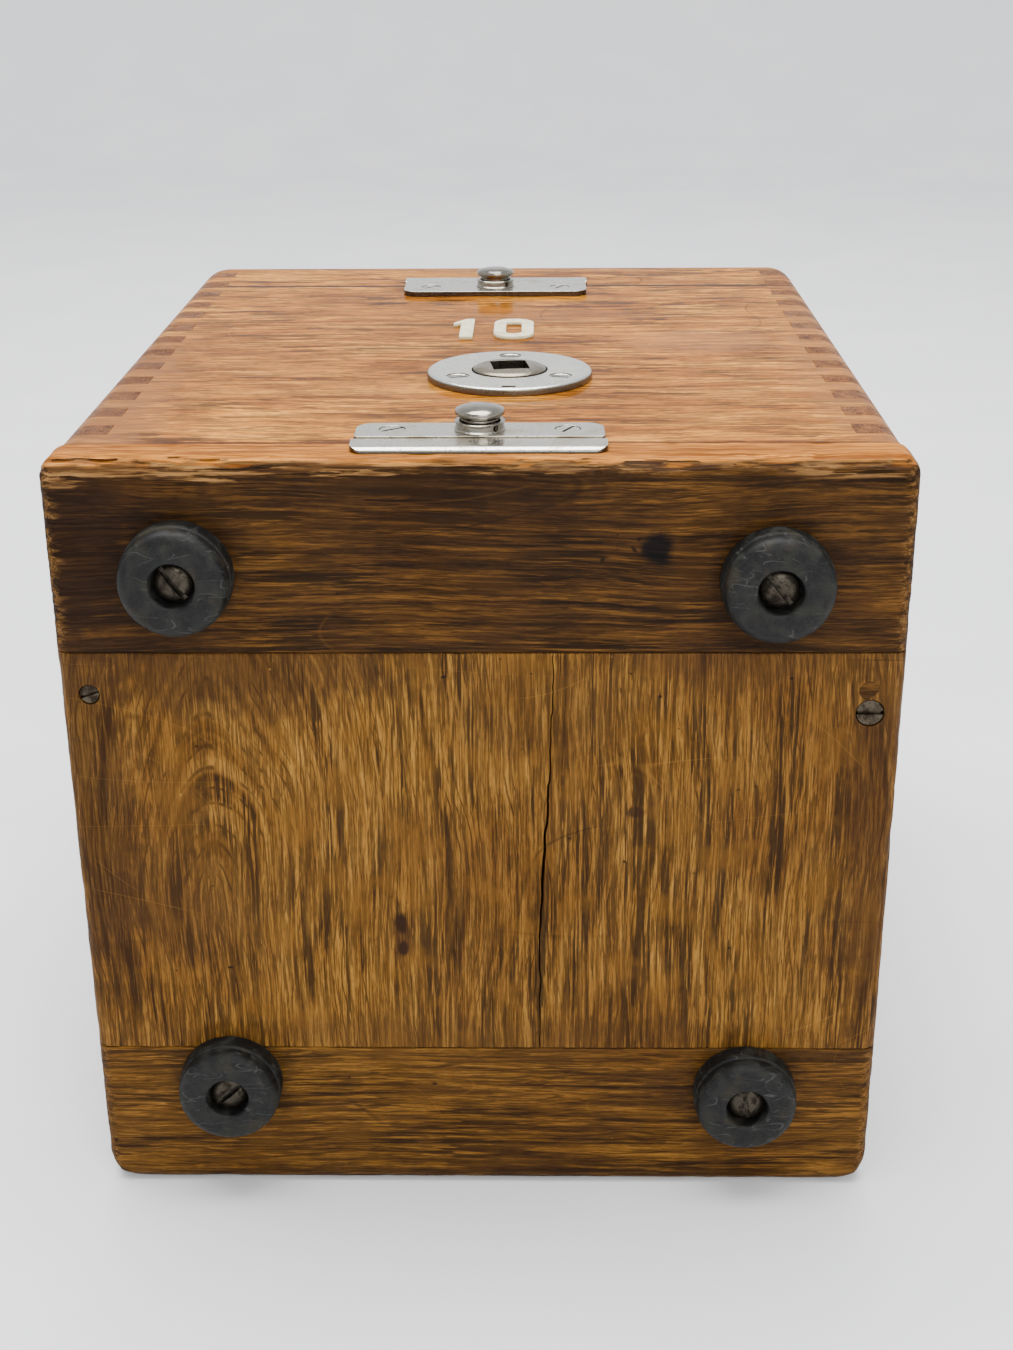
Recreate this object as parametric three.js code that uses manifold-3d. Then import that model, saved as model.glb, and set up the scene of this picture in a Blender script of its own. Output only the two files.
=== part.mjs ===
// Oak-cased key switch and fuse panel, lying on its back wall with its feet towards -Y.
// Millimetres, +Z up. X runs across the case and Y along it, from the base board to the lid.
// Lengths along the case are measured from the outer face of the base board; the last
// lines move the whole assembly so that its origin is under the middle of its box.
import * as THREE from 'three';
import { mergeVertices } from 'three/addons/utils/BufferGeometryUtils.js';
import Module from 'manifold-3d';

const wasm = await Module();
wasm.setup();

// ---- driving dimensions ----

// oak case
const CASE_WIDTH = 168;
const CASE_HEIGHT = 168.5;
const WALL = 9.5;
const FINGER = 7;
const CASE_FINGERS = 23;
const LID_FINGERS = 5;
const LONG_EDGE_RADIUS = 4.5;
const LID_CORNER_RADIUS = 9;
const LID_EDGE_RADIUS = 7;

// base board and its two cross battens
const BOARD_WIDTH = 170;
const BOARD_THICKNESS = 10.4;
const BOARD_EDGE_RADIUS = 3.5;
const BOARD_TOP_CORNER = 4;
const BOARD_BOTTOM_CORNER = 7;
const UPPER_JOINT_Z = 128.4;
const LOWER_JOINT_Z = 35.6;
const TONGUE = { depth: 6, thickness: 3.4 };

// rubber feet and their screws: x, z, slot angle in degrees
const FOOT = { height: 8, backRadius: 11.1, frontRadius: 10.5, bevel: 1, bore: 4.4, seat: 4.2 };
const FEET = [
  { name: 'upper_left', x: -58.9, z: 145.2, slot: 127 },
  { name: 'upper_right', x: 58, z: 143.8, slot: 129 },
  { name: 'lower_left', x: -55.6, z: 27.6, slot: 42 },
  { name: 'lower_right', x: 56.6, z: 25.4, slot: 100 },
];

// screws that hold the base board to the side walls
const BASE_SCREWS = [
  { name: 'left', x: -78.8, z: 119.4, radius: 2, slot: 20 },
  { name: 'right', x: 78.1, z: 115.4, radius: 2.9, slot: 0 },
];

// escutcheon, key spindle and the rotary switch under the key wall
const KEY = { x: 5.2, s: 65.4 };
const ESCUTCHEON = { radius: 18.3, thickness: 1.8, chamfer: 0.5, screwCircle: 13, screwRadius: 2.3 };
const SPINDLE = { boss: 8.1, rise: 1, flange: 10, shaft: 7.4, tail: 5, socket: 8, socketDepth: 13 };
const SOCKET_TURN = 8;
const SWITCH_BASE = { halfWidth: 42, halfDepth: 25, thickness: 12 };
const ROTOR = { radius: 19, thickness: 11 };
const BLADE = { reach: 31.5, width: 10, thickness: 3 };
const JAW = { inner: 26, outer: 33, leaf: 1.5, width: 12 };

// stud catches across the base joint and the lid joint
const CATCH = { length: 49.2, plate: 1.4, bead: 1.2, beadDepth: 7.2, corner: 3.6, screwX: 17.4, screwRadius: 2.5 };
const BASE_PLATE_DEPTH = 10.3;
const LID_PLATE_DEPTH = 15;
const STUD = { collar: 5.1, collarHeight: 2.2, neck: 3.8, gap: 0.9, head: 4.95, headHeight: 1.9, pin: 1.5 };
const FORK = { width: 14, slot: 8.4, reach: 8.6, thickness: 1.3 };

// numerals
const DIGIT = { height: 20.4, s: 103.2, thickness: 0.9 };

// panel with a double-pole fuse base, four clips and two pull-out carriers
const PANEL = { s: 100, thickness: 8, gap: 0.3, z0: 22, z1: 146 };
const CLEAT = { size: 8, z0: 20, z1: 148 };
const FUSE_BASE = { halfWidth: 54, z0: 38, z1: 130, thickness: 13 };
const FUSE_X = 27;
const CLIP_RISE = 28;
const CLIP = { gap: 3.6, leaf: 1.4, height: 14, width: 10, floor: 2 };
const CARRIER = { halfWidth: 11, halfLength: 38, thickness: 14, lift: 4, grip: 8 };

// cable bushes in the back wall
const BUSH = { x: 42, s: 42, outer: 7, flange: 10, bore: 4.8, flangeThickness: 2.5 };

// lengths of the screws that hold the plates and the base board
const PLATE_SCREW = 8;
const BASE_SCREW_LENGTH = 26;

const CLEAR = 0.3;
const ROUND = 24;
const SMALL_ROUND = 12;
const HOLE_ROUND = 8;

// ---- lengths that follow from them ----

const CASE_START = BOARD_THICKNESS;
const LID_START = CASE_START + CASE_FINGERS * FINGER;
const CASE_END = LID_START + LID_FINGERS * FINGER;
const HALF_WIDTH = CASE_WIDTH / 2;
const INNER_X = HALF_WIDTH - WALL;
const INNER_TOP = CASE_HEIGHT - WALL;
const PANEL_FACE = PANEL.s + PANEL.thickness;
const FUSE_FACE = PANEL_FACE + FUSE_BASE.thickness;
const FUSE_Z = (FUSE_BASE.z0 + FUSE_BASE.z1) / 2;
const BASE_STUD_S = CASE_START + BASE_PLATE_DEPTH / 2;
const LID_STUD_S = LID_START - LID_PLATE_DEPTH / 2;

// ---- solids ----

function signedVolume(positions, index) {
  const a = new THREE.Vector3();
  const b = new THREE.Vector3();
  const c = new THREE.Vector3();
  let volume = 0;
  for (let i = 0; i < index.length; i += 3) {
    a.fromArray(positions, 3 * index[i]);
    b.fromArray(positions, 3 * index[i + 1]);
    c.fromArray(positions, 3 * index[i + 2]);
    volume += a.dot(b.cross(c)) / 6;
  }
  return volume;
}

// a closed three.js geometry as a solid, with its faces turned outwards
function solid(geometry) {
  geometry.deleteAttribute('normal');
  geometry.deleteAttribute('uv');
  const merged = mergeVertices(geometry, 1e-4);
  const vertProperties = new Float32Array(merged.attributes.position.array);
  const triVerts = new Uint32Array(merged.index.array).filter((_, i, all) => {
    const [p, q, r] = all.subarray(i - (i % 3), i - (i % 3) + 3);
    return p !== q && q !== r && r !== p;
  });
  if (signedVolume(vertProperties, triVerts) < 0) {
    for (let i = 0; i < triVerts.length; i += 3) {
      [triVerts[i], triVerts[i + 1]] = [triVerts[i + 1], triVerts[i]];
    }
  }
  return new wasm.Manifold(new wasm.Mesh({ numProp: 3, vertProperties, triVerts }));
}

function geometryOf(manifold) {
  const { vertProperties, triVerts } = manifold.getMesh();
  const geometry = new THREE.BufferGeometry();
  geometry.setAttribute('position', new THREE.BufferAttribute(new Float32Array(vertProperties), 3));
  geometry.setIndex(new THREE.BufferAttribute(new Uint32Array(triVerts), 1));
  geometry.computeVertexNormals();
  return geometry;
}

function block([x0, x1], [y0, y1], [z0, z1]) {
  const geometry = new THREE.BoxGeometry(x1 - x0, y1 - y0, z1 - z0);
  geometry.translate((x0 + x1) / 2, (y0 + y1) / 2, (z0 + z1) / 2);
  return solid(geometry);
}

function outline(points) {
  return new THREE.Shape(points.map(([u, v]) => new THREE.Vector2(u, v)));
}

function prism(shape, depth, curveSegments = 3) {
  return new THREE.ExtrudeGeometry(shape, { depth, bevelEnabled: false, curveSegments });
}

// a shape drawn in (x, s), standing from z0 up to z1
function plate(shape, [z0, z1], curveSegments) {
  return solid(prism(shape, z1 - z0, curveSegments).translate(0, 0, z0));
}

// a shape drawn in (x, z), running from s0 to s1
function along(shape, [s0, s1], curveSegments) {
  return solid(prism(shape, s1 - s0, curveSegments).rotateX(Math.PI / 2).translate(0, s1, 0));
}

// a shape drawn in (z, s), running from x0 to x1
function across(shape, [x0, x1], curveSegments) {
  return solid(prism(shape, x1 - x0, curveSegments).rotateY(-Math.PI / 2).translate(x1, 0, 0));
}

// a profile of (radius, height) turned about Z
function turned(profile, segments = ROUND) {
  const points = profile.map(([r, h]) => new THREE.Vector2(r, h));
  return solid(new THREE.LatheGeometry(points, segments).rotateX(Math.PI / 2));
}

function rod(radius, [z0, z1], segments = SMALL_ROUND) {
  return turned([[0, z0], [radius, z0], [radius, z1], [0, z1]], segments);
}

// turns a solid's +Z to face the viewer of the base board
function facingFeet(manifold) {
  return manifold.rotate([90, 0, 0]);
}

function roundedRectangle([x0, x1], [z0, z1], lower, upper) {
  const shape = new THREE.Shape();
  shape.moveTo(x0 + lower, z0);
  shape.lineTo(x1 - lower, z0);
  shape.absarc(x1 - lower, z0 + lower, lower, -Math.PI / 2, 0);
  shape.lineTo(x1, z1 - upper);
  shape.absarc(x1 - upper, z1 - upper, upper, 0, Math.PI / 2);
  shape.lineTo(x0 + upper, z1);
  shape.absarc(x0 + upper, z1 - upper, upper, Math.PI / 2, Math.PI);
  shape.lineTo(x0, z0 + lower);
  shape.absarc(x0 + lower, z0 + lower, lower, Math.PI, 1.5 * Math.PI);
  return shape;
}

// ---- scene graph ----

const assembly = new THREE.Group();

const finishes = {
  oak: { color: 0xa8733c, roughness: 0.5, metalness: 0 },
  oakPale: { color: 0xc98f52, roughness: 0.4, metalness: 0 },
  oakDark: { color: 0x5f4224, roughness: 0.6, metalness: 0 },
  rubber: { color: 0x3c4042, roughness: 0.85, metalness: 0 },
  steel: { color: 0x6c6455, roughness: 0.5, metalness: 0.8 },
  nickel: { color: 0xb9bab4, roughness: 0.3, metalness: 1 },
  ivory: { color: 0xe6dcb8, roughness: 0.5, metalness: 0 },
  slate: { color: 0x34373a, roughness: 0.7, metalness: 0 },
  porcelain: { color: 0xe9e6dc, roughness: 0.2, metalness: 0 },
  brass: { color: 0xb59349, roughness: 0.35, metalness: 1 },
  copper: { color: 0xb9744a, roughness: 0.35, metalness: 1 },
  ebonite: { color: 0x1d1b19, roughness: 0.4, metalness: 0 },
};

function add(name, manifold, finish, position = [0, 0, 0]) {
  const mesh = new THREE.Mesh(geometryOf(manifold), new THREE.MeshStandardMaterial(finishes[finish]));
  mesh.name = name;
  mesh.position.set(...position);
  assembly.add(mesh);
  return mesh;
}

// ---- screws ----

// a countersunk screw's shank radius and head height, as shares of its head's radius
const SHANK_SHARE = 0.55;
const HEAD_SHARE = 0.5;

// countersunk slotted wood screw, its head's face at z = 0 and its point down
function flatScrew(radius, length, slotAngle) {
  const shank = radius * SHANK_SHARE;
  const cone = radius * HEAD_SHARE;
  const body = turned([
    [0, -length], [shank, -length + shank], [shank, -cone], [radius, -0.3], [radius, 0], [0, 0],
  ], SMALL_ROUND);
  const slot = block([-radius * 1.2, radius * 1.2], [-radius * 0.16, radius * 0.16], [-radius * 0.32, 1]);
  return body.subtract(slot.rotate([0, 0, slotAngle]));
}

// the countersink that takes its head, and the hole that takes its shank
function countersink(radius, depth) {
  const shank = radius * SHANK_SHARE + CLEAR;
  const cone = radius * HEAD_SHARE + CLEAR;
  return turned([
    [0, -depth], [shank, -depth], [shank, -cone], [radius + CLEAR, -0.3 - CLEAR], [radius + CLEAR, 1], [0, 1],
  ], SMALL_ROUND);
}

function shankHole(radius, length) {
  return rod(radius * SHANK_SHARE + CLEAR, [-length - CLEAR, 1], HOLE_ROUND);
}

// round-head slotted screw: the head stands from z = 0 up to its height
function roundScrew(radius, height, length, shank, slotAngle) {
  const body = turned([
    [0, -length], [shank, -length + shank], [shank, 0], [radius, 0], [radius, height * 0.45],
    [radius * 0.72, height * 0.85], [0, height],
  ], SMALL_ROUND);
  const slot = block([-radius * 1.2, radius * 1.2], [-0.55, 0.55], [height * 0.45, height + 1]);
  return body.subtract(slot.rotate([0, 0, slotAngle]));
}

// ---- oak walls with finger joints ----

// a board edged with fingers on both sides; fingers of one parity reach the outer lines
function fingerBoard([inner0, inner1], [outer0, outer1], startS, firstFinger, count, parity) {
  const near = [];
  const far = [];
  for (let i = 0; i < count; i += 1) {
    const reaches = (firstFinger + i) % 2 === parity;
    const s0 = startS + i * FINGER;
    const s1 = startS + (i + 1) * FINGER;
    near.push([reaches ? outer0 : inner0, s0], [reaches ? outer0 : inner0, s1]);
    far.unshift([reaches ? outer1 : inner1, s1], [reaches ? outer1 : inner1, s0]);
  }
  return outline([...near, ...far]);
}

const caseOutline = roundedRectangle(
  [-HALF_WIDTH, HALF_WIDTH], [0, CASE_HEIGHT], LONG_EDGE_RADIUS, LONG_EDGE_RADIUS);
const caseEnvelope = along(caseOutline, [CASE_START - 1, CASE_END], 2);

function lidEnvelope() {
  const reach = 60;
  const plan = roundedRectangle(
    [-HALF_WIDTH, HALF_WIDTH], [CASE_END - reach, CASE_END], 1, LID_CORNER_RADIUS);
  const side = roundedRectangle(
    [0, CASE_HEIGHT], [CASE_END - reach, CASE_END], 1, LID_EDGE_RADIUS);
  return caseEnvelope
    .intersect(plate(plan, [-1, CASE_HEIGHT + 1]))
    .intersect(across(side, [-HALF_WIDTH - 1, HALF_WIDTH + 1]));
}

function flatWall(startS, firstFinger, count, z0) {
  const shape = fingerBoard([-INNER_X, INNER_X], [-HALF_WIDTH, HALF_WIDTH], startS, firstFinger, count, 0);
  return plate(shape, [z0, z0 + WALL]);
}

function sideWall(startS, firstFinger, count, x0) {
  const shape = fingerBoard([WALL, INNER_TOP], [0, CASE_HEIGHT], startS, firstFinger, count, 1);
  return across(shape, [x0, x0 + WALL]);
}

// ---- catches ----

const catches = [
  { name: 'base', joint: CASE_START, way: 1, depth: BASE_PLATE_DEPTH, stud: BASE_STUD_S },
  { name: 'lid', joint: LID_START, way: -1, depth: LID_PLATE_DEPTH, stud: LID_STUD_S },
];

// the strip's fork and the recess for it, between the joint and the stud and a little behind it
function forkSpan({ joint, way }, clear) {
  const tip = joint + way * (FORK.reach + clear);
  const root = joint - way * (3.2 + clear);
  return [Math.min(tip, root), Math.max(tip, root)];
}

function forkRecess(item) {
  const half = FORK.width / 2 + CLEAR;
  return block([-half, half], forkSpan(item, CLEAR), [CASE_HEIGHT - FORK.thickness - CLEAR, CASE_HEIGHT + 1]);
}

// hole through the key wall for the stud's pin, wider above for its spring
function studHole({ stud }) {
  const pin = STUD.pin + 0.4;
  const well = STUD.neck + CLEAR;
  const profile = [
    [0, INNER_TOP - 1], [pin, INNER_TOP - 1], [pin, CASE_HEIGHT - 6], [well, CASE_HEIGHT - 6],
    [well, CASE_HEIGHT + 1], [0, CASE_HEIGHT + 1],
  ];
  return turned(profile, SMALL_ROUND).translate([0, stud, 0]);
}

function catchScrewPlaces({ joint, way, depth }) {
  return [-1, 1].map((side) => [side * CATCH.screwX, joint + way * depth * 0.55]);
}

function catchPlateShape({ joint, way, depth }) {
  const half = CATCH.length / 2;
  const straight = 0.4;
  const [lower, upper] = way > 0 ? [straight, CATCH.corner] : [CATCH.corner, straight];
  const span = way > 0 ? [joint, joint + depth] : [joint - depth, joint];
  return roundedRectangle([-half, half], span, lower, upper);
}

function addCatch(item) {
  const top = CASE_HEIGHT + CATCH.plate;
  let body = plate(catchPlateShape(item), [CASE_HEIGHT, top]);
  body = body.add(rod(STUD.collar, [CASE_HEIGHT, top + STUD.collarHeight], ROUND).translate([0, item.stud, 0]));
  body = body.subtract(rod(STUD.neck + CLEAR, [0, top + 9], ROUND).translate([0, item.stud, 0]));
  const sealHole = rod(0.7, [-9, 9], 8).rotate([90, 0, 0]).rotate([0, 0, 40]);
  body = body.subtract(sealHole.translate([0, item.stud, top + STUD.collarHeight / 2]));
  catchScrewPlaces(item).forEach(([x, s], i) => {
    body = body.subtract(countersink(CATCH.screwRadius, CATCH.plate + 1).translate([x, s, top]));
    const side = i === 0 ? 'left' : 'right';
    const screw = flatScrew(CATCH.screwRadius, PLATE_SCREW, i === 0 ? 40 : 62);
    add(`${item.name}_catch_screw_${side}`, screw, 'nickel', [x, s, top - 0.1]);
  });
  add(`${item.name}_catch_plate`, body, 'nickel');

  // bead strip on the other side of the joint, with a fork that runs under the plate
  const half = CATCH.length / 2 + 0.4;
  const from = item.joint - item.way * (CATCH.beadDepth + 0.2);
  const to = item.joint - item.way * 0.2;
  const span = [Math.min(from, to), Math.max(from, to)];
  const endRadius = CATCH.beadDepth / 2 - 0.6;
  const bead = plate(roundedRectangle([-half, half], span, endRadius, endRadius),
    [CASE_HEIGHT, CASE_HEIGHT + CATCH.bead]);
  const fork = block([-FORK.width / 2, FORK.width / 2], forkSpan(item, 0),
    [CASE_HEIGHT - FORK.thickness, CASE_HEIGHT - 0.2]);
  const neck = block([-FORK.width / 2, FORK.width / 2],
    [Math.min(item.joint - item.way * 3.2, to), Math.max(item.joint - item.way * 3.2, to)],
    [CASE_HEIGHT - FORK.thickness, CASE_HEIGHT + 0.4]);
  const slotEnd = item.stud - item.way * FORK.slot / 2;
  const slotSpan = [Math.min(slotEnd, slotEnd + item.way * 30), Math.max(slotEnd, slotEnd + item.way * 30)];
  const slot = block([-FORK.slot / 2, FORK.slot / 2], slotSpan, [CASE_HEIGHT - 4, CASE_HEIGHT - 0.1]);
  add(`${item.name}_catch_strip`, bead.add(fork).add(neck).subtract(slot), 'nickel');

  // press stud: domed head, neck in the collar, pin through the wall and a flange inside
  const neckTop = CATCH.plate + STUD.collarHeight + STUD.gap;
  const headTop = neckTop + STUD.headHeight;
  const inside = INNER_TOP - CASE_HEIGHT;
  const button = turned([
    [0, inside - 3.3], [3, inside - 3.3], [3, inside - 1.3], [STUD.pin, inside - 1.3], [STUD.pin, 0.2],
    [STUD.neck, 0.2], [STUD.neck, neckTop], [STUD.head - 0.5, neckTop], [STUD.head, neckTop + 0.5],
    [STUD.head, neckTop + 1.1], [STUD.head - 1.2, headTop - 0.25], [0, headTop],
  ], 16);
  add(`${item.name}_catch_button`, button, 'nickel', [0, item.stud, CASE_HEIGHT]);
}

// ---- case ----

function keyWall() {
  let wall = flatWall(CASE_START, 0, CASE_FINGERS, INNER_TOP).intersect(caseEnvelope);
  for (const item of catches) {
    wall = wall.subtract(forkRecess(item)).subtract(studHole(item));
    for (const [x, s] of catchScrewPlaces(item)) {
      wall = wall.subtract(shankHole(CATCH.screwRadius, PLATE_SCREW).translate([x, s, CASE_HEIGHT + CATCH.plate]));
    }
  }
  const spindleHole = turned([
    [0, INNER_TOP - 1], [SPINDLE.shaft + CLEAR, INNER_TOP - 1], [SPINDLE.shaft + CLEAR, CASE_HEIGHT - 4.6],
    [SPINDLE.flange + CLEAR, CASE_HEIGHT - 4.6], [SPINDLE.flange + CLEAR, CASE_HEIGHT + 1], [0, CASE_HEIGHT + 1],
  ]);
  wall = wall.subtract(spindleHole.translate([KEY.x, KEY.s, 0]));
  for (const [x, s] of escutcheonScrewPlaces()) {
    const hole = shankHole(ESCUTCHEON.screwRadius, PLATE_SCREW);
    wall = wall.subtract(hole.translate([x, s, CASE_HEIGHT + ESCUTCHEON.thickness]));
  }
  return wall;
}

function backWall() {
  let wall = flatWall(CASE_START, 0, CASE_FINGERS, 0).intersect(caseEnvelope);
  for (const side of [-1, 1]) {
    const hole = rod(BUSH.outer + CLEAR, [-1, WALL + 1], SMALL_ROUND);
    wall = wall.subtract(hole.translate([side * BUSH.x, BUSH.s, 0]));
    wall = wall.subtract(dowelHole(side));
  }
  return wall;
}

function baseScrewHole({ x, z, radius }) {
  return facingFeet(countersink(radius, BASE_SCREW_LENGTH + CLEAR)).translate([x, 0, z]);
}

function addCase() {
  add('key_wall', keyWall(), 'oakPale');
  add('back_wall', backWall(), 'oak');
  const [leftScrew, rightScrew] = BASE_SCREWS;
  const left = sideWall(CASE_START, 0, CASE_FINGERS, -HALF_WIDTH).intersect(caseEnvelope);
  const right = sideWall(CASE_START, 0, CASE_FINGERS, INNER_X).intersect(caseEnvelope);
  add('left_wall', left.subtract(baseScrewHole(leftScrew)), 'oak');
  add('right_wall', right.subtract(baseScrewHole(rightScrew)), 'oak');
}

// ---- base board ----

// the board's outer shape: rounded front edges and worn lower corners
function boardEnvelope() {
  const half = BOARD_WIDTH / 2;
  const shape = roundedRectangle([-half, half], [0, CASE_HEIGHT], BOARD_BOTTOM_CORNER, BOARD_TOP_CORNER);
  const depth = 20;
  const geometry = new THREE.ExtrudeGeometry(shape, {
    depth,
    bevelThickness: BOARD_EDGE_RADIUS,
    bevelSize: BOARD_EDGE_RADIUS,
    bevelOffset: -BOARD_EDGE_RADIUS,
    bevelSegments: 2,
    curveSegments: 3,
  });
  return solid(geometry.rotateX(Math.PI / 2).translate(0, depth + BOARD_EDGE_RADIUS, 0));
}

function addBaseBoard() {
  const half = BOARD_WIDTH / 2;
  const middle = BOARD_THICKNESS / 2;
  const tongueS = [middle - TONGUE.thickness / 2, middle + TONGUE.thickness / 2];
  const fullS = [0, BOARD_THICKNESS];
  const envelope = boardEnvelope();
  const upperTongue = [UPPER_JOINT_Z, UPPER_JOINT_Z + TONGUE.depth];
  const lowerTongue = [LOWER_JOINT_Z - TONGUE.depth, LOWER_JOINT_Z];
  let centre = block([-half, half], fullS, [LOWER_JOINT_Z, UPPER_JOINT_Z]);
  centre = centre.add(block([-half + 1, half - 1], tongueS, [LOWER_JOINT_Z - TONGUE.depth, LOWER_JOINT_Z + 1]));
  centre = centre.add(block([-half + 1, half - 1], tongueS, [UPPER_JOINT_Z - 1, UPPER_JOINT_Z + TONGUE.depth]));
  let upper = block([-half, half], fullS, [UPPER_JOINT_Z, CASE_HEIGHT]);
  let lower = block([-half, half], fullS, [0, LOWER_JOINT_Z]);
  const grooveS = [tongueS[0] - CLEAR, tongueS[1] + CLEAR];
  upper = upper.subtract(block([-half - 1, half + 1], grooveS, [upperTongue[0] - 1, upperTongue[1] + CLEAR]));
  lower = lower.subtract(block([-half - 1, half + 1], grooveS, [lowerTongue[0] - CLEAR, lowerTongue[1] + 1]));
  for (const { x, z } of FEET) {
    const hole = facingFeet(rod(1.9, [-BOARD_THICKNESS - 1, 1])).translate([x, 0, z]);
    upper = upper.subtract(hole);
    lower = lower.subtract(hole);
  }
  upper = upper.subtract(forkRecess(catches[0]));
  for (const screw of BASE_SCREWS) {
    centre = centre.subtract(baseScrewHole(screw));
    const body = facingFeet(flatScrew(screw.radius, BASE_SCREW_LENGTH, screw.slot));
    add(`base_screw_${screw.name}`, body, 'steel', [screw.x, 0.2, screw.z]);
  }
  add('base_board', centre.intersect(envelope), 'oak');
  add('base_batten_upper', upper.intersect(envelope), 'oakDark');
  add('base_batten_lower', lower.intersect(envelope), 'oak');
}

function addFeet() {
  const { height, backRadius, frontRadius, bevel, bore, seat } = FOOT;
  const foot = turned([
    [1.9, 0], [backRadius, 0], [backRadius, height * 0.55], [frontRadius, height - bevel],
    [frontRadius - bevel, height], [bore, height], [bore, seat], [1.9, seat], [1.9, 0],
  ]);
  for (const { name, x, z, slot } of FEET) {
    add(`foot_${name}`, facingFeet(foot), 'rubber', [x, 0, z]);
    const screw = roundScrew(4, 2.3, 13.5, 1.6, slot);
    add(`foot_screw_${name}`, facingFeet(screw), 'steel', [x, -seat, z]);
  }
}

// ---- lid ----

const DOWEL = { radius: 2.5, length: 16, x: 46 };

function dowelHole(side) {
  const hole = facingFeet(rod(DOWEL.radius + CLEAR, [-DOWEL.length / 2 - 1, DOWEL.length / 2 + 1], 12));
  return hole.translate([side * DOWEL.x, LID_START, WALL / 2]);
}

function addLid() {
  const envelope = lidEnvelope();
  const panelS = [CASE_END - WALL, CASE_END];
  const piece = (manifold) => manifold.intersect(envelope);
  add('lid_board', piece(block([-INNER_X, INNER_X], panelS, [WALL, INNER_TOP])), 'oak');
  const front = piece(flatWall(LID_START, CASE_FINGERS, LID_FINGERS, INNER_TOP));
  add('lid_key_wall', front.subtract(forkRecess(catches[1])), 'oakPale');
  let back = piece(flatWall(LID_START, CASE_FINGERS, LID_FINGERS, 0));
  for (const side of [-1, 1]) {
    back = back.subtract(dowelHole(side));
    const dowel = facingFeet(rod(DOWEL.radius, [-DOWEL.length / 2, DOWEL.length / 2], 12));
    add(`lid_dowel_${side < 0 ? 'left' : 'right'}`, dowel, 'oak', [side * DOWEL.x, LID_START, WALL / 2]);
  }
  add('lid_back_wall', back, 'oak');
  add('lid_left_wall', piece(sideWall(LID_START, CASE_FINGERS, LID_FINGERS, -HALF_WIDTH)), 'oak');
  add('lid_right_wall', piece(sideWall(LID_START, CASE_FINGERS, LID_FINGERS, INNER_X)), 'oak');
}

// ---- key spindle, escutcheon and rotary switch ----

function escutcheonScrewPlaces() {
  return [90, 210, 330].map((degrees) => {
    const angle = THREE.MathUtils.degToRad(degrees);
    return [KEY.x + ESCUTCHEON.screwCircle * Math.cos(angle), KEY.s + ESCUTCHEON.screwCircle * Math.sin(angle)];
  });
}

function addEscutcheon() {
  const { radius, thickness, chamfer, screwRadius } = ESCUTCHEON;
  const opening = SPINDLE.boss + CLEAR;
  let disc = turned([
    [opening, 0], [radius, 0], [radius, thickness - chamfer], [radius - chamfer, thickness],
    [opening, thickness], [opening, 0],
  ], 36);
  escutcheonScrewPlaces().forEach(([x, s], i) => {
    disc = disc.subtract(countersink(screwRadius, thickness + 1).translate([x - KEY.x, s - KEY.s, thickness]));
    const screw = flatScrew(screwRadius, PLATE_SCREW, [5, 60, 150][i]);
    add(`escutcheon_screw_${i + 1}`, screw, 'nickel', [x, s, CASE_HEIGHT + thickness - 0.1]);
  });
  add('escutcheon', disc, 'nickel', [KEY.x, KEY.s, CASE_HEIGHT]);
}

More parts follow.
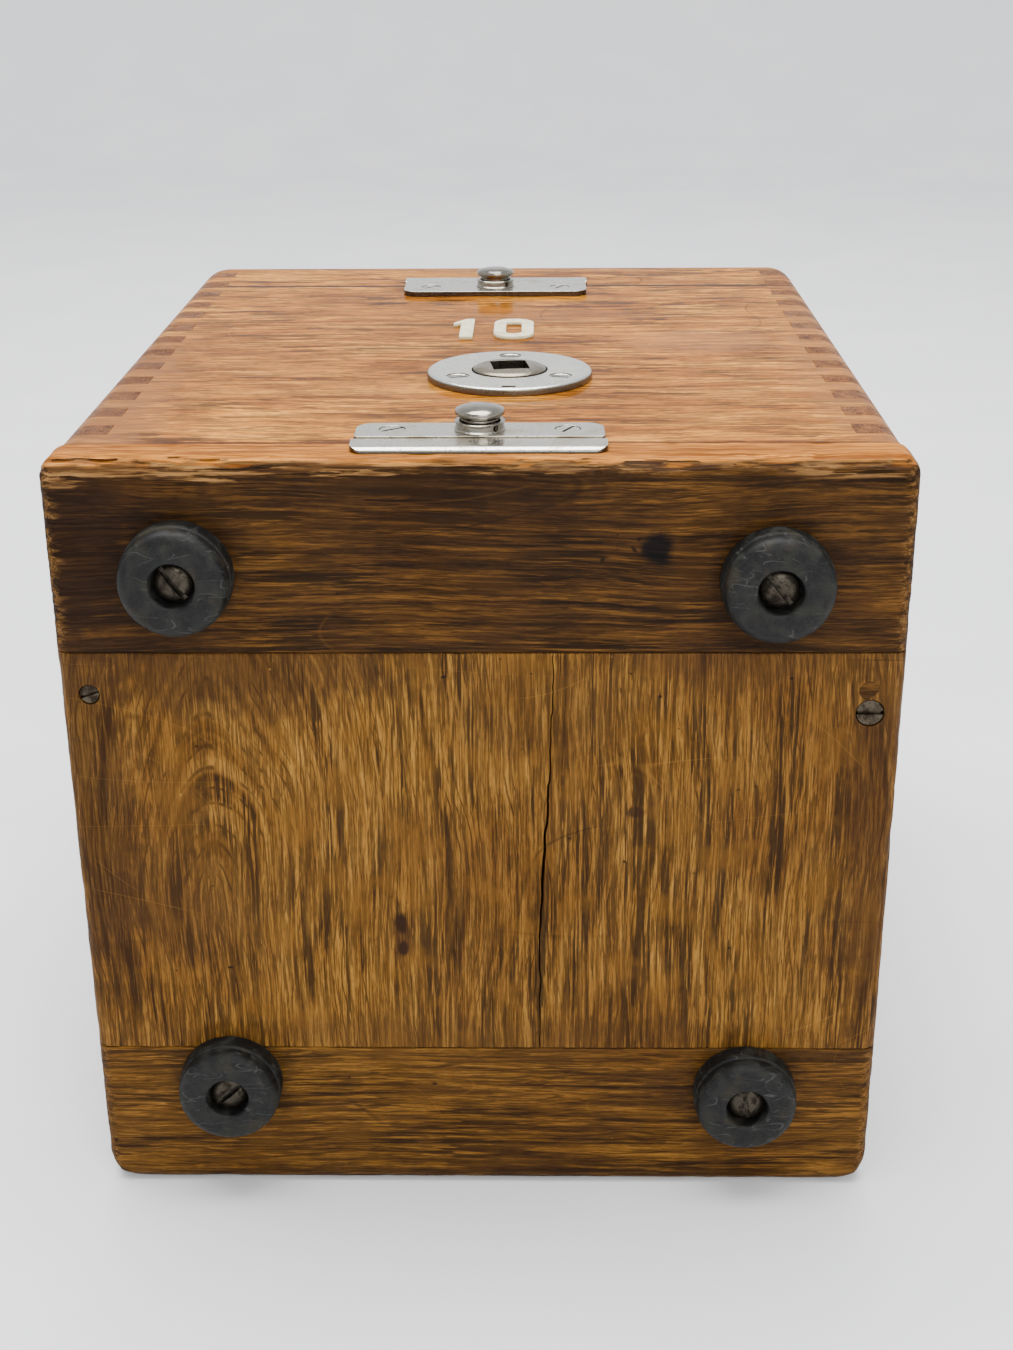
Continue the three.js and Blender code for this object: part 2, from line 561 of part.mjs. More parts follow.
function addSwitch() {
  const { boss, rise, flange, shaft, tail, socket, socketDepth } = SPINDLE;
  const faceZ = CASE_HEIGHT + ESCUTCHEON.thickness;
  const baseZ = INNER_TOP - SWITCH_BASE.thickness;
  const rotorTop = baseZ - 0.6;
  const rotorBottom = rotorTop - ROTOR.thickness;
  const bladeTop = rotorBottom;
  const bladeBottom = bladeTop - BLADE.thickness;
  const flangeTop = CASE_HEIGHT - 0.3;
  let spindle = turned([
    [0, bladeBottom - 2], [tail, bladeBottom - 2], [tail, rotorTop], [shaft, rotorTop + 0.3],
    [shaft, CASE_HEIGHT - 4.3], [flange, CASE_HEIGHT - 4.3], [flange, flangeTop], [boss, flangeTop],
    [boss, faceZ + rise * 0.3], [boss * 0.75, faceZ + rise * 0.85], [0, faceZ + rise],
  ]);
  const hole = block([-socket / 2, socket / 2], [-socket / 2, socket / 2],
    [faceZ + rise - socketDepth, faceZ + rise + 1]);
  spindle = spindle.subtract(hole.rotate([0, 0, SOCKET_TURN]));
  add('key_spindle', spindle, 'nickel', [KEY.x, KEY.s, 0]);

  const rotor = rod(ROTOR.radius, [rotorBottom, rotorTop], ROUND)
    .subtract(rod(tail + CLEAR, [rotorBottom - 1, rotorTop + 1], ROUND));
  add('switch_rotor', rotor, 'ebonite', [KEY.x, KEY.s, 0]);
  const blade = block([-BLADE.reach, BLADE.reach], [-BLADE.width / 2, BLADE.width / 2], [bladeBottom, bladeTop])
    .add(rod(BLADE.width * 0.9, [bladeBottom, bladeTop], ROUND))
    .subtract(rod(tail + CLEAR, [bladeBottom - 1, bladeTop + 1], ROUND));
  add('switch_blade', blade, 'copper', [KEY.x, KEY.s, 0]);

  const base = block([-SWITCH_BASE.halfWidth, SWITCH_BASE.halfWidth],
    [-SWITCH_BASE.halfDepth, SWITCH_BASE.halfDepth], [baseZ, INNER_TOP])
    .subtract(rod(shaft + 0.6, [baseZ - 1, INNER_TOP + 1], ROUND));
  add('switch_base', base, 'porcelain', [KEY.x, KEY.s, 0]);

  // each jaw is a C open towards the spindle, hung from the switch base
  const low = bladeBottom - CLEAR;
  const high = bladeTop + CLEAR;
  const { inner, outer, leaf, width } = JAW;
  const jawShape = outline([
    [inner, low - leaf], [outer + leaf, low - leaf], [outer + leaf, baseZ], [outer, baseZ],
    [outer, high + leaf], [inner, high + leaf], [inner, high], [outer, high], [outer, low], [inner, low],
  ]);
  const jaw = along(jawShape, [-width / 2, width / 2]);
  add('switch_jaw_right', jaw, 'copper', [KEY.x, KEY.s, 0]);
  add('switch_jaw_left', jaw.rotate([0, 0, 180]), 'copper', [KEY.x, KEY.s, 0]);
}

// ---- fuse panel ----

function addPanel() {
  const reachX = INNER_X - PANEL.gap;
  add('fuse_panel', block([-reachX, reachX], [PANEL.s, PANEL_FACE], [PANEL.z0, PANEL.z1]), 'slate');
  for (const side of [-1, 1]) {
    const x = side * (INNER_X - CLEAT.size / 2);
    const cleat = block([x - CLEAT.size / 2, x + CLEAT.size / 2], [PANEL.s - CLEAT.size, PANEL.s],
      [CLEAT.z0, CLEAT.z1]);
    add(`panel_cleat_${side < 0 ? 'left' : 'right'}`, cleat, 'oak');
  }

  const { halfWidth, z0, z1 } = FUSE_BASE;
  const base = along(roundedRectangle([-halfWidth, halfWidth], [z0, z1], 6, 6), [PANEL_FACE, FUSE_FACE])
    .add(block([-2.5, 2.5], [FUSE_FACE - 1, FUSE_FACE + 16], [z0 + 4, z1 - 4]));
  add('fuse_base', base, 'porcelain');
}

function addFuse(side) {
  const name = side < 0 ? 'left' : 'right';
  const x = side * FUSE_X;
  const outerHalf = CLIP.gap / 2 + CLIP.leaf;
  const clipTop = FUSE_FACE + CLIP.height;
  const clipFloor = FUSE_FACE + CLIP.floor;
  const clipShape = outline([
    [x - outerHalf, FUSE_FACE], [x + outerHalf, FUSE_FACE], [x + outerHalf, clipTop],
    [x + CLIP.gap / 2, clipTop], [x + CLIP.gap / 2, clipFloor], [x - CLIP.gap / 2, clipFloor],
    [x - CLIP.gap / 2, clipTop], [x - outerHalf, clipTop],
  ]);
  const bladeHalf = 1.5;
  const carrierFoot = clipTop + CARRIER.lift;
  const wire = 0.8;
  let element = block([x - wire, x + wire], [carrierFoot - 2 * wire - CLEAR, carrierFoot - CLEAR],
    [FUSE_Z - CLIP_RISE, FUSE_Z + CLIP_RISE]);
  for (const end of [-1, 1]) {
    const z = FUSE_Z + end * CLIP_RISE;
    const span = [z - CLIP.width / 2, z + CLIP.width / 2];
    add(`fuse_clip_${name}_${end < 0 ? 'back' : 'front'}`, plate(clipShape, span), 'brass');
    element = element.add(block([x - bladeHalf, x + bladeHalf], [clipFloor + 1, carrierFoot - CLEAR], span));
  }
  add(`fuse_element_${name}`, element, 'copper');

  const { halfWidth, halfLength, thickness, grip } = CARRIER;
  const carrierTop = carrierFoot + thickness;
  const body = along(
    roundedRectangle([x - halfWidth, x + halfWidth], [FUSE_Z - halfLength, FUSE_Z + halfLength], 5, 5),
    [carrierFoot, carrierTop]);
  const handle = along(roundedRectangle([x - 5, x + 5], [FUSE_Z - 22, FUSE_Z + 22], 4, 4),
    [carrierTop - 1, carrierTop + grip]);
  add(`fuse_carrier_${name}`, body.add(handle), 'porcelain');
}

function addBushes() {
  const { outer, flange, bore, flangeThickness } = BUSH;
  const bush = turned([
    [bore, 0.4], [outer, 0.4], [outer, WALL + CLEAR], [flange, WALL + CLEAR],
    [flange, WALL + CLEAR + flangeThickness], [bore, WALL + CLEAR + flangeThickness], [bore, 0.4],
  ], SMALL_ROUND);
  add('cable_bush_left', bush, 'ebonite', [-BUSH.x, BUSH.s, 0]);
  add('cable_bush_right', bush, 'ebonite', [BUSH.x, BUSH.s, 0]);
}

// ---- numerals: a plain one and nought, cut from sheet and pinned on ----

function addNumerals() {
  const { height, s, thickness } = DIGIT;
  const z = [CASE_HEIGHT, CASE_HEIGHT + thickness];
  const one = outline([
    [-7.6, s], [-4.3, s], [-4.3, s + height], [-6.4, s + height], [-9.4, s + height * 0.78],
    [-9.4, s + height * 0.7], [-7.6, s + height * 0.77],
  ]);
  add('numeral_one', plate(one, z), 'ivory');
  const nought = roundedRectangle([0.7, 10.5], [s, s + height], 4.6, 4.6);
  const inner = roundedRectangle([3.7, 7.5], [s + 3.4, s + height - 3.4], 1.8, 1.8);
  add('numeral_nought', plate(nought, z).subtract(plate(inner, [z[0] - 1, z[1] + 1])), 'ivory');
}

// ---- assembly ----

addCase();
addBaseBoard();
addFeet();
addLid();
catches.forEach(addCatch);
addEscutcheon();
addSwitch();
addPanel();
addFuse(-1);
addFuse(1);
addBushes();
addNumerals();

// the origin sits on the floor, under the middle of the box from the feet to the lid
assembly.position.y = -(CASE_END - FOOT.height) / 2;

export default assembly;
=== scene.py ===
import math

import bmesh
import bpy
from mathutils import Matrix, Vector, noise


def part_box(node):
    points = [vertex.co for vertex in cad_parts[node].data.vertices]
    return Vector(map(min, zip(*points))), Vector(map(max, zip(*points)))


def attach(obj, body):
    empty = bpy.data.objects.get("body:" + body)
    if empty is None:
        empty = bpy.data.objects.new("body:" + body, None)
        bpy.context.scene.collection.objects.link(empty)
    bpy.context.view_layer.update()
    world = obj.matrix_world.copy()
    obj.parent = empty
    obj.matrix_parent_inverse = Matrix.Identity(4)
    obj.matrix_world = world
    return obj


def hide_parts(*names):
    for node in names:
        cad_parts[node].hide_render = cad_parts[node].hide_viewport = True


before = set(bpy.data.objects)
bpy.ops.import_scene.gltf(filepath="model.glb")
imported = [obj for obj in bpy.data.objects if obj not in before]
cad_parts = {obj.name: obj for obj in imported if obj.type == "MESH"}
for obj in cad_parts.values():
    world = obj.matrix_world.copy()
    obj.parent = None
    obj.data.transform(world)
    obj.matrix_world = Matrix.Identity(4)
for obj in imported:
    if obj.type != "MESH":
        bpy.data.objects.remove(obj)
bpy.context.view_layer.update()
MM = 0.001

# ---- camera ----
# Someone sitting at a table looks down on the feet and, at a low angle, along the key wall.
# A plain lens a little longer than normal, with no shift and no blur.
eye = Vector((0.0112, -0.4397, 0.2658))
pitch, yaw, roll = (math.radians(angle) for angle in (22.64, -1.01, -0.385))
ahead = Vector((math.sin(yaw) * math.cos(pitch), math.cos(yaw) * math.cos(pitch), -math.sin(pitch)))
level = Vector((math.cos(yaw), -math.sin(yaw), 0))
above = level.cross(ahead)
right = level * math.cos(roll) + above * math.sin(roll)
upward = above * math.cos(roll) - level * math.sin(roll)
camera = bpy.data.objects.new("camera", bpy.data.cameras.new("camera"))
camera.data.lens = 49.33
camera.data.sensor_width = 36
camera.data.clip_start = 0.02
camera.matrix_world = Matrix.Translation(eye) @ Matrix((right, upward, -ahead)).transposed().to_4x4()
bpy.context.scene.collection.objects.link(camera)
bpy.context.scene.camera = camera


# ---- floor and light ----
# A pale round table whose rim sweeps up into its own backdrop, so there is no horizon.
# Two broad soft boxes, one overhead and one from the front, and an even pale sky.
def paint(red, green, blue):
    """a colour from its display values, 0 to 255"""
    shares = [channel / 255 for channel in (red, green, blue)]
    return (*[s / 12.92 if s <= 0.04045 else ((s + 0.055) / 1.055) ** 2.4 for s in shares], 1.0)


def put(tree, kind, inputs=None, **settings):
    """adds a shader node; each input is a value or the socket that feeds it"""
    made = tree.nodes.new("ShaderNode" + kind)
    for name, value in settings.items():
        setattr(made, name, value)
    for name, value in (inputs or {}).items():
        if isinstance(value, bpy.types.NodeSocket):
            tree.links.new(value, made.inputs[name])
        else:
            made.inputs[name].default_value = value
    return made


def calc(tree, operation, *values):
    return put(tree, "Math", dict(enumerate(values)), operation=operation).outputs[0]


def vector_calc(tree, operation, *values):
    """a vector, or a number where the sum of two vectors is one"""
    worked = put(tree, "VectorMath", dict(enumerate(values)), operation=operation).outputs
    return worked[1 if operation in ("LENGTH", "DOT_PRODUCT") else 0]


def remap(tree, value, low, high, to_low=0.0, to_high=1.0):
    """a smooth step of a value from one range to another; low may be above high"""
    inputs = {0: value, 1: low, 2: high, 3: to_low, 4: to_high}
    return put(tree, "MapRange", inputs, interpolation_type="SMOOTHSTEP").outputs[0]


def speckle(tree, place, scales, detail=2.0, distortion=0.0):
    """soft noise of the given scales per millimetre along x, y and z"""
    stretched = vector_calc(tree, "MULTIPLY", place, scales)
    inputs = {"Vector": stretched, "Scale": 1.0, "Detail": detail, "Distortion": distortion}
    return put(tree, "TexNoise", inputs).outputs[0]


def tint(tree, mask, under, over, mode="MIX"):
    """lays one colour over another where the mask is"""
    return put(tree, "Mix", {0: mask, 6: under, 7: over}, data_type="RGBA", blend_type=mode).outputs[2]


def new_material(name, fixed):
    """a material with its fixed surface values, and the piece's own position in millimetres"""
    made = bpy.data.materials.new(name)
    made.use_nodes = True
    tree = made.node_tree
    surface = tree.nodes["Principled BSDF"]
    for socket, value in fixed.items():
        surface.inputs[socket].default_value = value
    place = put(tree, "TexCoord").outputs["Object"]
    return made, tree, surface, vector_calc(tree, "MULTIPLY", place, (1000, 1000, 1000))


def feed(tree, surface, **sockets):
    """joins values to the surface's sockets, Base_Color to Base Color and so on"""
    for name, value in sockets.items():
        tree.links.new(value, surface.inputs[name.replace("_", " ")])


def relief(tree, height, depth):
    """a normal from a height; depth is the relief of a full step, in millimetres"""
    return put(tree, "Bump", {"Height": height, "Distance": depth * MM}).outputs["Normal"]


def lathe(profile, segments=96):
    """a mesh turned about Z from (radius, height) points in millimetres, closed on its axis or on itself"""
    rings, made = [], bmesh.new()
    for radius, height in profile:
        if radius < 1e-6:
            rings.append([made.verts.new((0, 0, height * MM))] * segments)
            continue
        turns = [math.tau * i / segments for i in range(segments)]
        rings.append([made.verts.new((radius * MM * math.cos(t), radius * MM * math.sin(t), height * MM))
                      for t in turns])
    loops = list(zip(rings, rings[1:]))
    if profile[0][0] > 1e-6 and profile[-1][0] > 1e-6 and profile[0] != profile[-1]:
        loops.append((rings[-1], rings[0]))
    for lower, upper in loops:
        for i in range(segments):
            j = (i + 1) % segments
            corners = list(dict.fromkeys((lower[i], lower[j], upper[j], upper[i])))
            if len(corners) > 2:
                made.faces.new(corners)
    bmesh.ops.remove_doubles(made, verts=made.verts, dist=1e-7)
    bmesh.ops.recalc_face_normals(made, faces=made.faces)
    mesh = bpy.data.meshes.new("turned")
    made.to_mesh(mesh)
    made.free()
    return mesh


table_radius, sweep = 1500, 700
table_profile = [(0, 0), (table_radius, 0)]
for step in range(1, 17):
    turn = math.pi / 2 * step / 16
    table_profile.append((table_radius + sweep * math.sin(turn), sweep * (1 - math.cos(turn))))
table_profile.append((table_radius + sweep, 2600))
table_material, tree, surface, place = new_material(
    "pale_table", {"Roughness": 0.45, "Specular IOR Level": 0.3})
cloudy = remap(tree, speckle(tree, place, (0.012, 0.012, 0.012), 4), 0.35, 0.7)
feed(tree, surface, Base_Color=tint(tree, cloudy, paint(226, 227, 228), paint(232, 232, 233)))
table = bpy.data.objects.new("table", lathe(table_profile, 128))
table.data.materials.append(table_material)
table.data.flip_normals()
table.data.shade_smooth()
bpy.context.scene.collection.objects.link(table)

for name, where, size, power in (
    ("soft_box_over", (-0.1, 0.15, 1.55), 1.4, 66),
    ("soft_box_front", (0.35, -1.15, 0.85), 0.8, 13),
):
    lamp = bpy.data.objects.new(name, bpy.data.lights.new(name, "AREA"))
    lamp.data.size = size
    lamp.data.energy = power
    lamp.location = where
    lamp.rotation_mode = "QUATERNION"
    lamp.rotation_quaternion = (Vector((0, 0, 0.08)) - Vector(where)).to_track_quat("-Z", "Y")
    bpy.context.scene.collection.objects.link(lamp)
sky = bpy.data.worlds.new("pale_sky")
sky.use_nodes = True
sky.node_tree.nodes["Background"].inputs["Color"].default_value = (0.9, 0.93, 1.0, 1)
sky.node_tree.nodes["Background"].inputs["Strength"].default_value = 0.6
bpy.context.scene.world = sky


# ---- base board ----
# The case's end board: an oak panel with upright grain between two cross battens, tongued together.
# The varnish has darkened and worn through at the edges, and the panel has a long shrinkage crack.
def effect(name, takes, gives):
    """an empty shader node group, with the sockets that bring values in and carry them out"""
    tree = bpy.data.node_groups.new(name, "ShaderNodeTree")
    for label, value in takes.items():
        kind = "NodeSocketVector" if isinstance(value, tuple) else "NodeSocketFloat"
        tree.interface.new_socket(label, in_out="INPUT", socket_type=kind).default_value = value
    for label in gives:
        tree.interface.new_socket(label, in_out="OUTPUT", socket_type="NodeSocketFloat")
    return tree, tree.nodes.new("NodeGroupInput").outputs, tree.nodes.new("NodeGroupOutput").inputs


def place_effect(tree, group, inputs):
    """puts a node group in a material and returns its outputs"""
    made = tree.nodes.new("ShaderNodeGroup")
    made.node_tree = group
    for name, value in inputs.items():
        if isinstance(value, bpy.types.NodeSocket):
            tree.links.new(value, made.inputs[name])
        else:
            made.inputs[name].default_value = value
    return made.outputs


def plus(tree, first, second):
    return calc(tree, "ADD", first, second)


def less(tree, first, second):
    return calc(tree, "SUBTRACT", first, second)


def times(tree, first, second):
    return calc(tree, "MULTIPLY", first, second)


def parts_of(tree, vector):
    return put(tree, "SeparateXYZ", {0: vector}).outputs


def all_ways(tree, value):
    """one value along all three axes"""
    return put(tree, "CombineXYZ", {axis: value for axis in range(3)}).outputs[0]


ORIGIN = (0.0, 0.0, 0.0)

# grain of ring-porous wood; Position is across, along and through the board, and Figure is the same
# place where the rings are straight, and elsewhere follows their arch
oak_grain, given, made = effect(
    "oak_grain", {"Position": ORIGIN, "Figure": ORIGIN, "Band": 3.0, "Sway": 4.0, "Ring": 1.4},
    ["Tone", "Pores", "Fibre"])
swayed = less(oak_grain, speckle(oak_grain, given["Position"], (0.02, 0.009, 0.02), 2), 0.5)
shift = put(oak_grain, "CombineXYZ", {0: times(oak_grain, swayed, given["Sway"])}).outputs[0]
bent = vector_calc(oak_grain, "ADD", given["Position"], shift)
figure = vector_calc(oak_grain, "ADD", given["Figure"], shift)
banded = vector_calc(oak_grain, "MULTIPLY", figure, (1.0, 0.045, 1.0))
banded = vector_calc(oak_grain, "DIVIDE", banded, all_ways(oak_grain, given["Band"]))
tone = remap(oak_grain, speckle(oak_grain, banded, (1, 1, 1), 4), 0.3, 0.7)
fibre = speckle(oak_grain, bent, (5.0, 0.5, 5.0), 2)
dashes = remap(oak_grain, speckle(oak_grain, bent, (1.6, 0.055, 1.6), 3), 0.485, 0.54)
fine_dashes = remap(oak_grain, speckle(oak_grain, bent, (3.0, 0.13, 3.0), 2), 0.49, 0.56)
in_rings = remap(oak_grain, speckle(oak_grain, figure, (0.36, 0.02, 0.36), 4), 0.4, 0.58, 0.2, 1.0)
across, along, through = parts_of(oak_grain, figure)
wavering = times(oak_grain, speckle(oak_grain, figure, (0.11, 0.022, 0.11), 3), 9.0)
ringed = plus(oak_grain, plus(oak_grain, across, times(oak_grain, through, 0.4)), wavering)
from_ring = calc(oak_grain, "PINGPONG", calc(oak_grain, "DIVIDE", ringed, given["Ring"]), 0.5)
broken_line = remap(oak_grain, speckle(oak_grain, bent, (0.5, 0.035, 0.5), 4), 0.42, 0.56)
ring_line = times(oak_grain, remap(oak_grain, from_ring, 0.17, 0.03), times(oak_grain, broken_line, 0.85))
pores = calc(oak_grain, "MAXIMUM", times(oak_grain, dashes, in_rings), times(oak_grain, fine_dashes, 0.7))
pores = calc(oak_grain, "MAXIMUM", pores, ring_line)
for label, value in (("Tone", tone), ("Pores", pores), ("Fibre", fibre)):
    oak_grain.links.new(value, made[label])

# where a box's edges are rubbed: strongest on the edge itself, and broken up along the grain
edge_wear, given, made = effect(
    "edge_wear", {"Position": ORIGIN, "Grain": ORIGIN, "Low": ORIGIN, "High": ORIGIN, "Reach": 3.0}, ["Mask"])
from_low = vector_calc(edge_wear, "SUBTRACT", given["Position"], given["Low"])
from_high = vector_calc(edge_wear, "SUBTRACT", given["High"], given["Position"])
near = parts_of(edge_wear, vector_calc(edge_wear, "MINIMUM", from_low, from_high))
nearer = calc(edge_wear, "MINIMUM", near[0], near[1])
farther = calc(edge_wear, "MAXIMUM", near[0], near[1])
second = calc(edge_wear, "MAXIMUM", nearer, calc(edge_wear, "MINIMUM", farther, near[2]))
broken = remap(edge_wear, speckle(edge_wear, given["Grain"], (0.75, 0.09, 0.75), 5), 0.38, 0.66, 0.05, 1.7)
edge_wear.links.new(remap(edge_wear, second, times(edge_wear, broken, given["Reach"]), 0.0), made["Mask"])

# long curved hair scratches, in patches
scratches, given, made = effect("scratches", {"Position": ORIGIN, "Spacing": 50.0, "Width": 0.004}, ["Mask"])
scaled = vector_calc(scratches, "DIVIDE", given["Position"], all_ways(scratches, given["Spacing"]))
scratched = 0.0
for turn, offset in ((0.0, 3.1), (0.9, 17.7), (2.1, 41.3)):
    turned = put(scratches, "Mapping", {"Vector": scaled, "Location": (offset, offset / 2, 1.0),
                                        "Rotation": (0, turn, 0), "Scale": (0.5, 1.0, 1.6)}).outputs[0]
    field = speckle(scratches, turned, (1, 1, 1), 0.0)
    apart = calc(scratches, "ABSOLUTE", less(scratches, field, 0.52))
    patch = remap(scratches, speckle(scratches, turned, (2.1, 2.1, 2.1), 2), 0.5, 0.6)
    line = times(scratches, remap(scratches, apart, given["Width"], 0.0), patch)
    scratched = calc(scratches, "MAXIMUM", scratched, line)
scratches.links.new(scratched, made["Mask"])

# one scored line on a front face, from one point to another, bowed a little between them
score, given, made = effect(
    "score", {"Position": ORIGIN, "From": ORIGIN, "To": ORIGIN, "Bow": ORIGIN, "Width": 0.3}, ["Mask"])
run = vector_calc(score, "SUBTRACT", given["To"], given["From"])
flat = vector_calc(score, "SUBTRACT", given["Position"], given["From"])
flat = vector_calc(score, "MULTIPLY", flat, (1, 0, 1))
share = calc(score, "DIVIDE", vector_calc(score, "DOT_PRODUCT", flat, run),
             vector_calc(score, "DOT_PRODUCT", run, run))
share = remap(score, share, 0.0, 1.0)
bowed = times(score, times(score, share, less(score, 1.0, share)), 4.0)
nearest = vector_calc(score, "ADD", vector_calc(score, "MULTIPLY", run, all_ways(score, share)),
                      vector_calc(score, "MULTIPLY", given["Bow"], all_ways(score, bowed)))
off = vector_calc(score, "LENGTH", vector_calc(score, "SUBTRACT", flat, nearest))
ragged = remap(score, speckle(score, given["Position"], (0.5, 0.5, 0.5), 3), 0.35, 0.65, -0.15, 0.25)
line = remap(score, plus(score, off, ragged), times(score, given["Width"], 1.3), 0.0)
score.links.new(line, made["Mask"])

# one soft blot with a ragged rim
blot, given, made = effect(
    "blot", {"Position": ORIGIN, "Centre": ORIGIN, "Size": (10.0, 10.0, 10.0)}, ["Mask"])
away = vector_calc(blot, "SUBTRACT", given["Position"], given["Centre"])
away = vector_calc(blot, "LENGTH", vector_calc(blot, "DIVIDE", away, given["Size"]))
ragged = less(blot, speckle(blot, given["Position"], (0.3, 0.3, 0.3), 4), 0.5)
blot.links.new(remap(blot, plus(blot, away, times(blot, ragged, 0.9)), 1.0, 0.45), made["Mask"])


def facing(tree, axis):
    """how far the surface faces along one axis of the piece, from -1 to 1"""
    return parts_of(tree, put(tree, "TexCoord").outputs["Normal"])["xyz".index(axis)]


def shaded(tree, colour, shade, mask):
    """a colour darkened by a shade where the mask is"""
    return tint(tree, mask, colour, tint(tree, 1.0, colour, (*shade, 1), "MULTIPLY"))


def arched(tree, own, beside_at, above, stretch):
    """the figure closes over in an arch where the saw cut through a swelling in the trunk"""
    across, along, through = parts_of(tree, own)
    uneven = less(tree, speckle(tree, own, (0.035, 0.025, 0.035), 0), 0.5)
    beside = less(tree, across, plus(tree, beside_at, times(tree, uneven, 7.0)))
    over = less(tree, along, plus(tree, above, times(tree, uneven, 40.0)))
    over = calc(tree, "DIVIDE", calc(tree, "MAXIMUM", over, 0.0), stretch)
    out = calc(tree, "SQRT", plus(tree, times(tree, beside, beside), times(tree, over, over)))
    return put(tree, "CombineXYZ", {0: out, 1: along, 2: through}).outputs[0]


def honey_face(tree, colour, grain, own, place, top):
    """the face level with the key wall keeps its varnish; its front edge has splintered in layers"""
    upward = facing(tree, "z")
    lit = tint(tree, grain["Tone"], paint(140, 80, 24), paint(196, 126, 48))
    lit = tint(tree, times(tree, grain["Pores"], 0.7), lit, paint(84, 44, 14))
    colour = tint(tree, remap(tree, upward, 0.45, 0.8), colour, lit)
    x, y, z = parts_of(tree, place)
    uneven = remap(tree, speckle(tree, own, (0.7, 0.06, 0.7), 5), 0.36, 0.64, -1.5, 1.6)
    leftward = remap(tree, x, -80.0, -30.0, -1.6, 0.0)
    down = plus(tree, plus(tree, less(tree, top, z), uneven), leftward)
    frayed = times(tree, remap(tree, down, 3.1, 2.3), remap(tree, upward, 0.9, 0.5))
    layers = remap(tree, speckle(tree, own, (1.1, 0.08, 1.1), 4), 0.36, 0.62)
    splinter = tint(tree, layers, paint(80, 52, 25), paint(156, 114, 66))
    colour = tint(tree, times(tree, frayed, remap(tree, x, -60.0, 10.0, 0.85, 0.55)), colour, splinter)
    apart = vector_calc(tree, "ADD", own, (7, 3, 1))
    splits = remap(tree, speckle(tree, apart, (1.5, 0.075, 1.5), 3), 0.5, 0.56)
    return tint(tree, times(tree, times(tree, splits, frayed), 0.85), colour, paint(46, 27, 12))


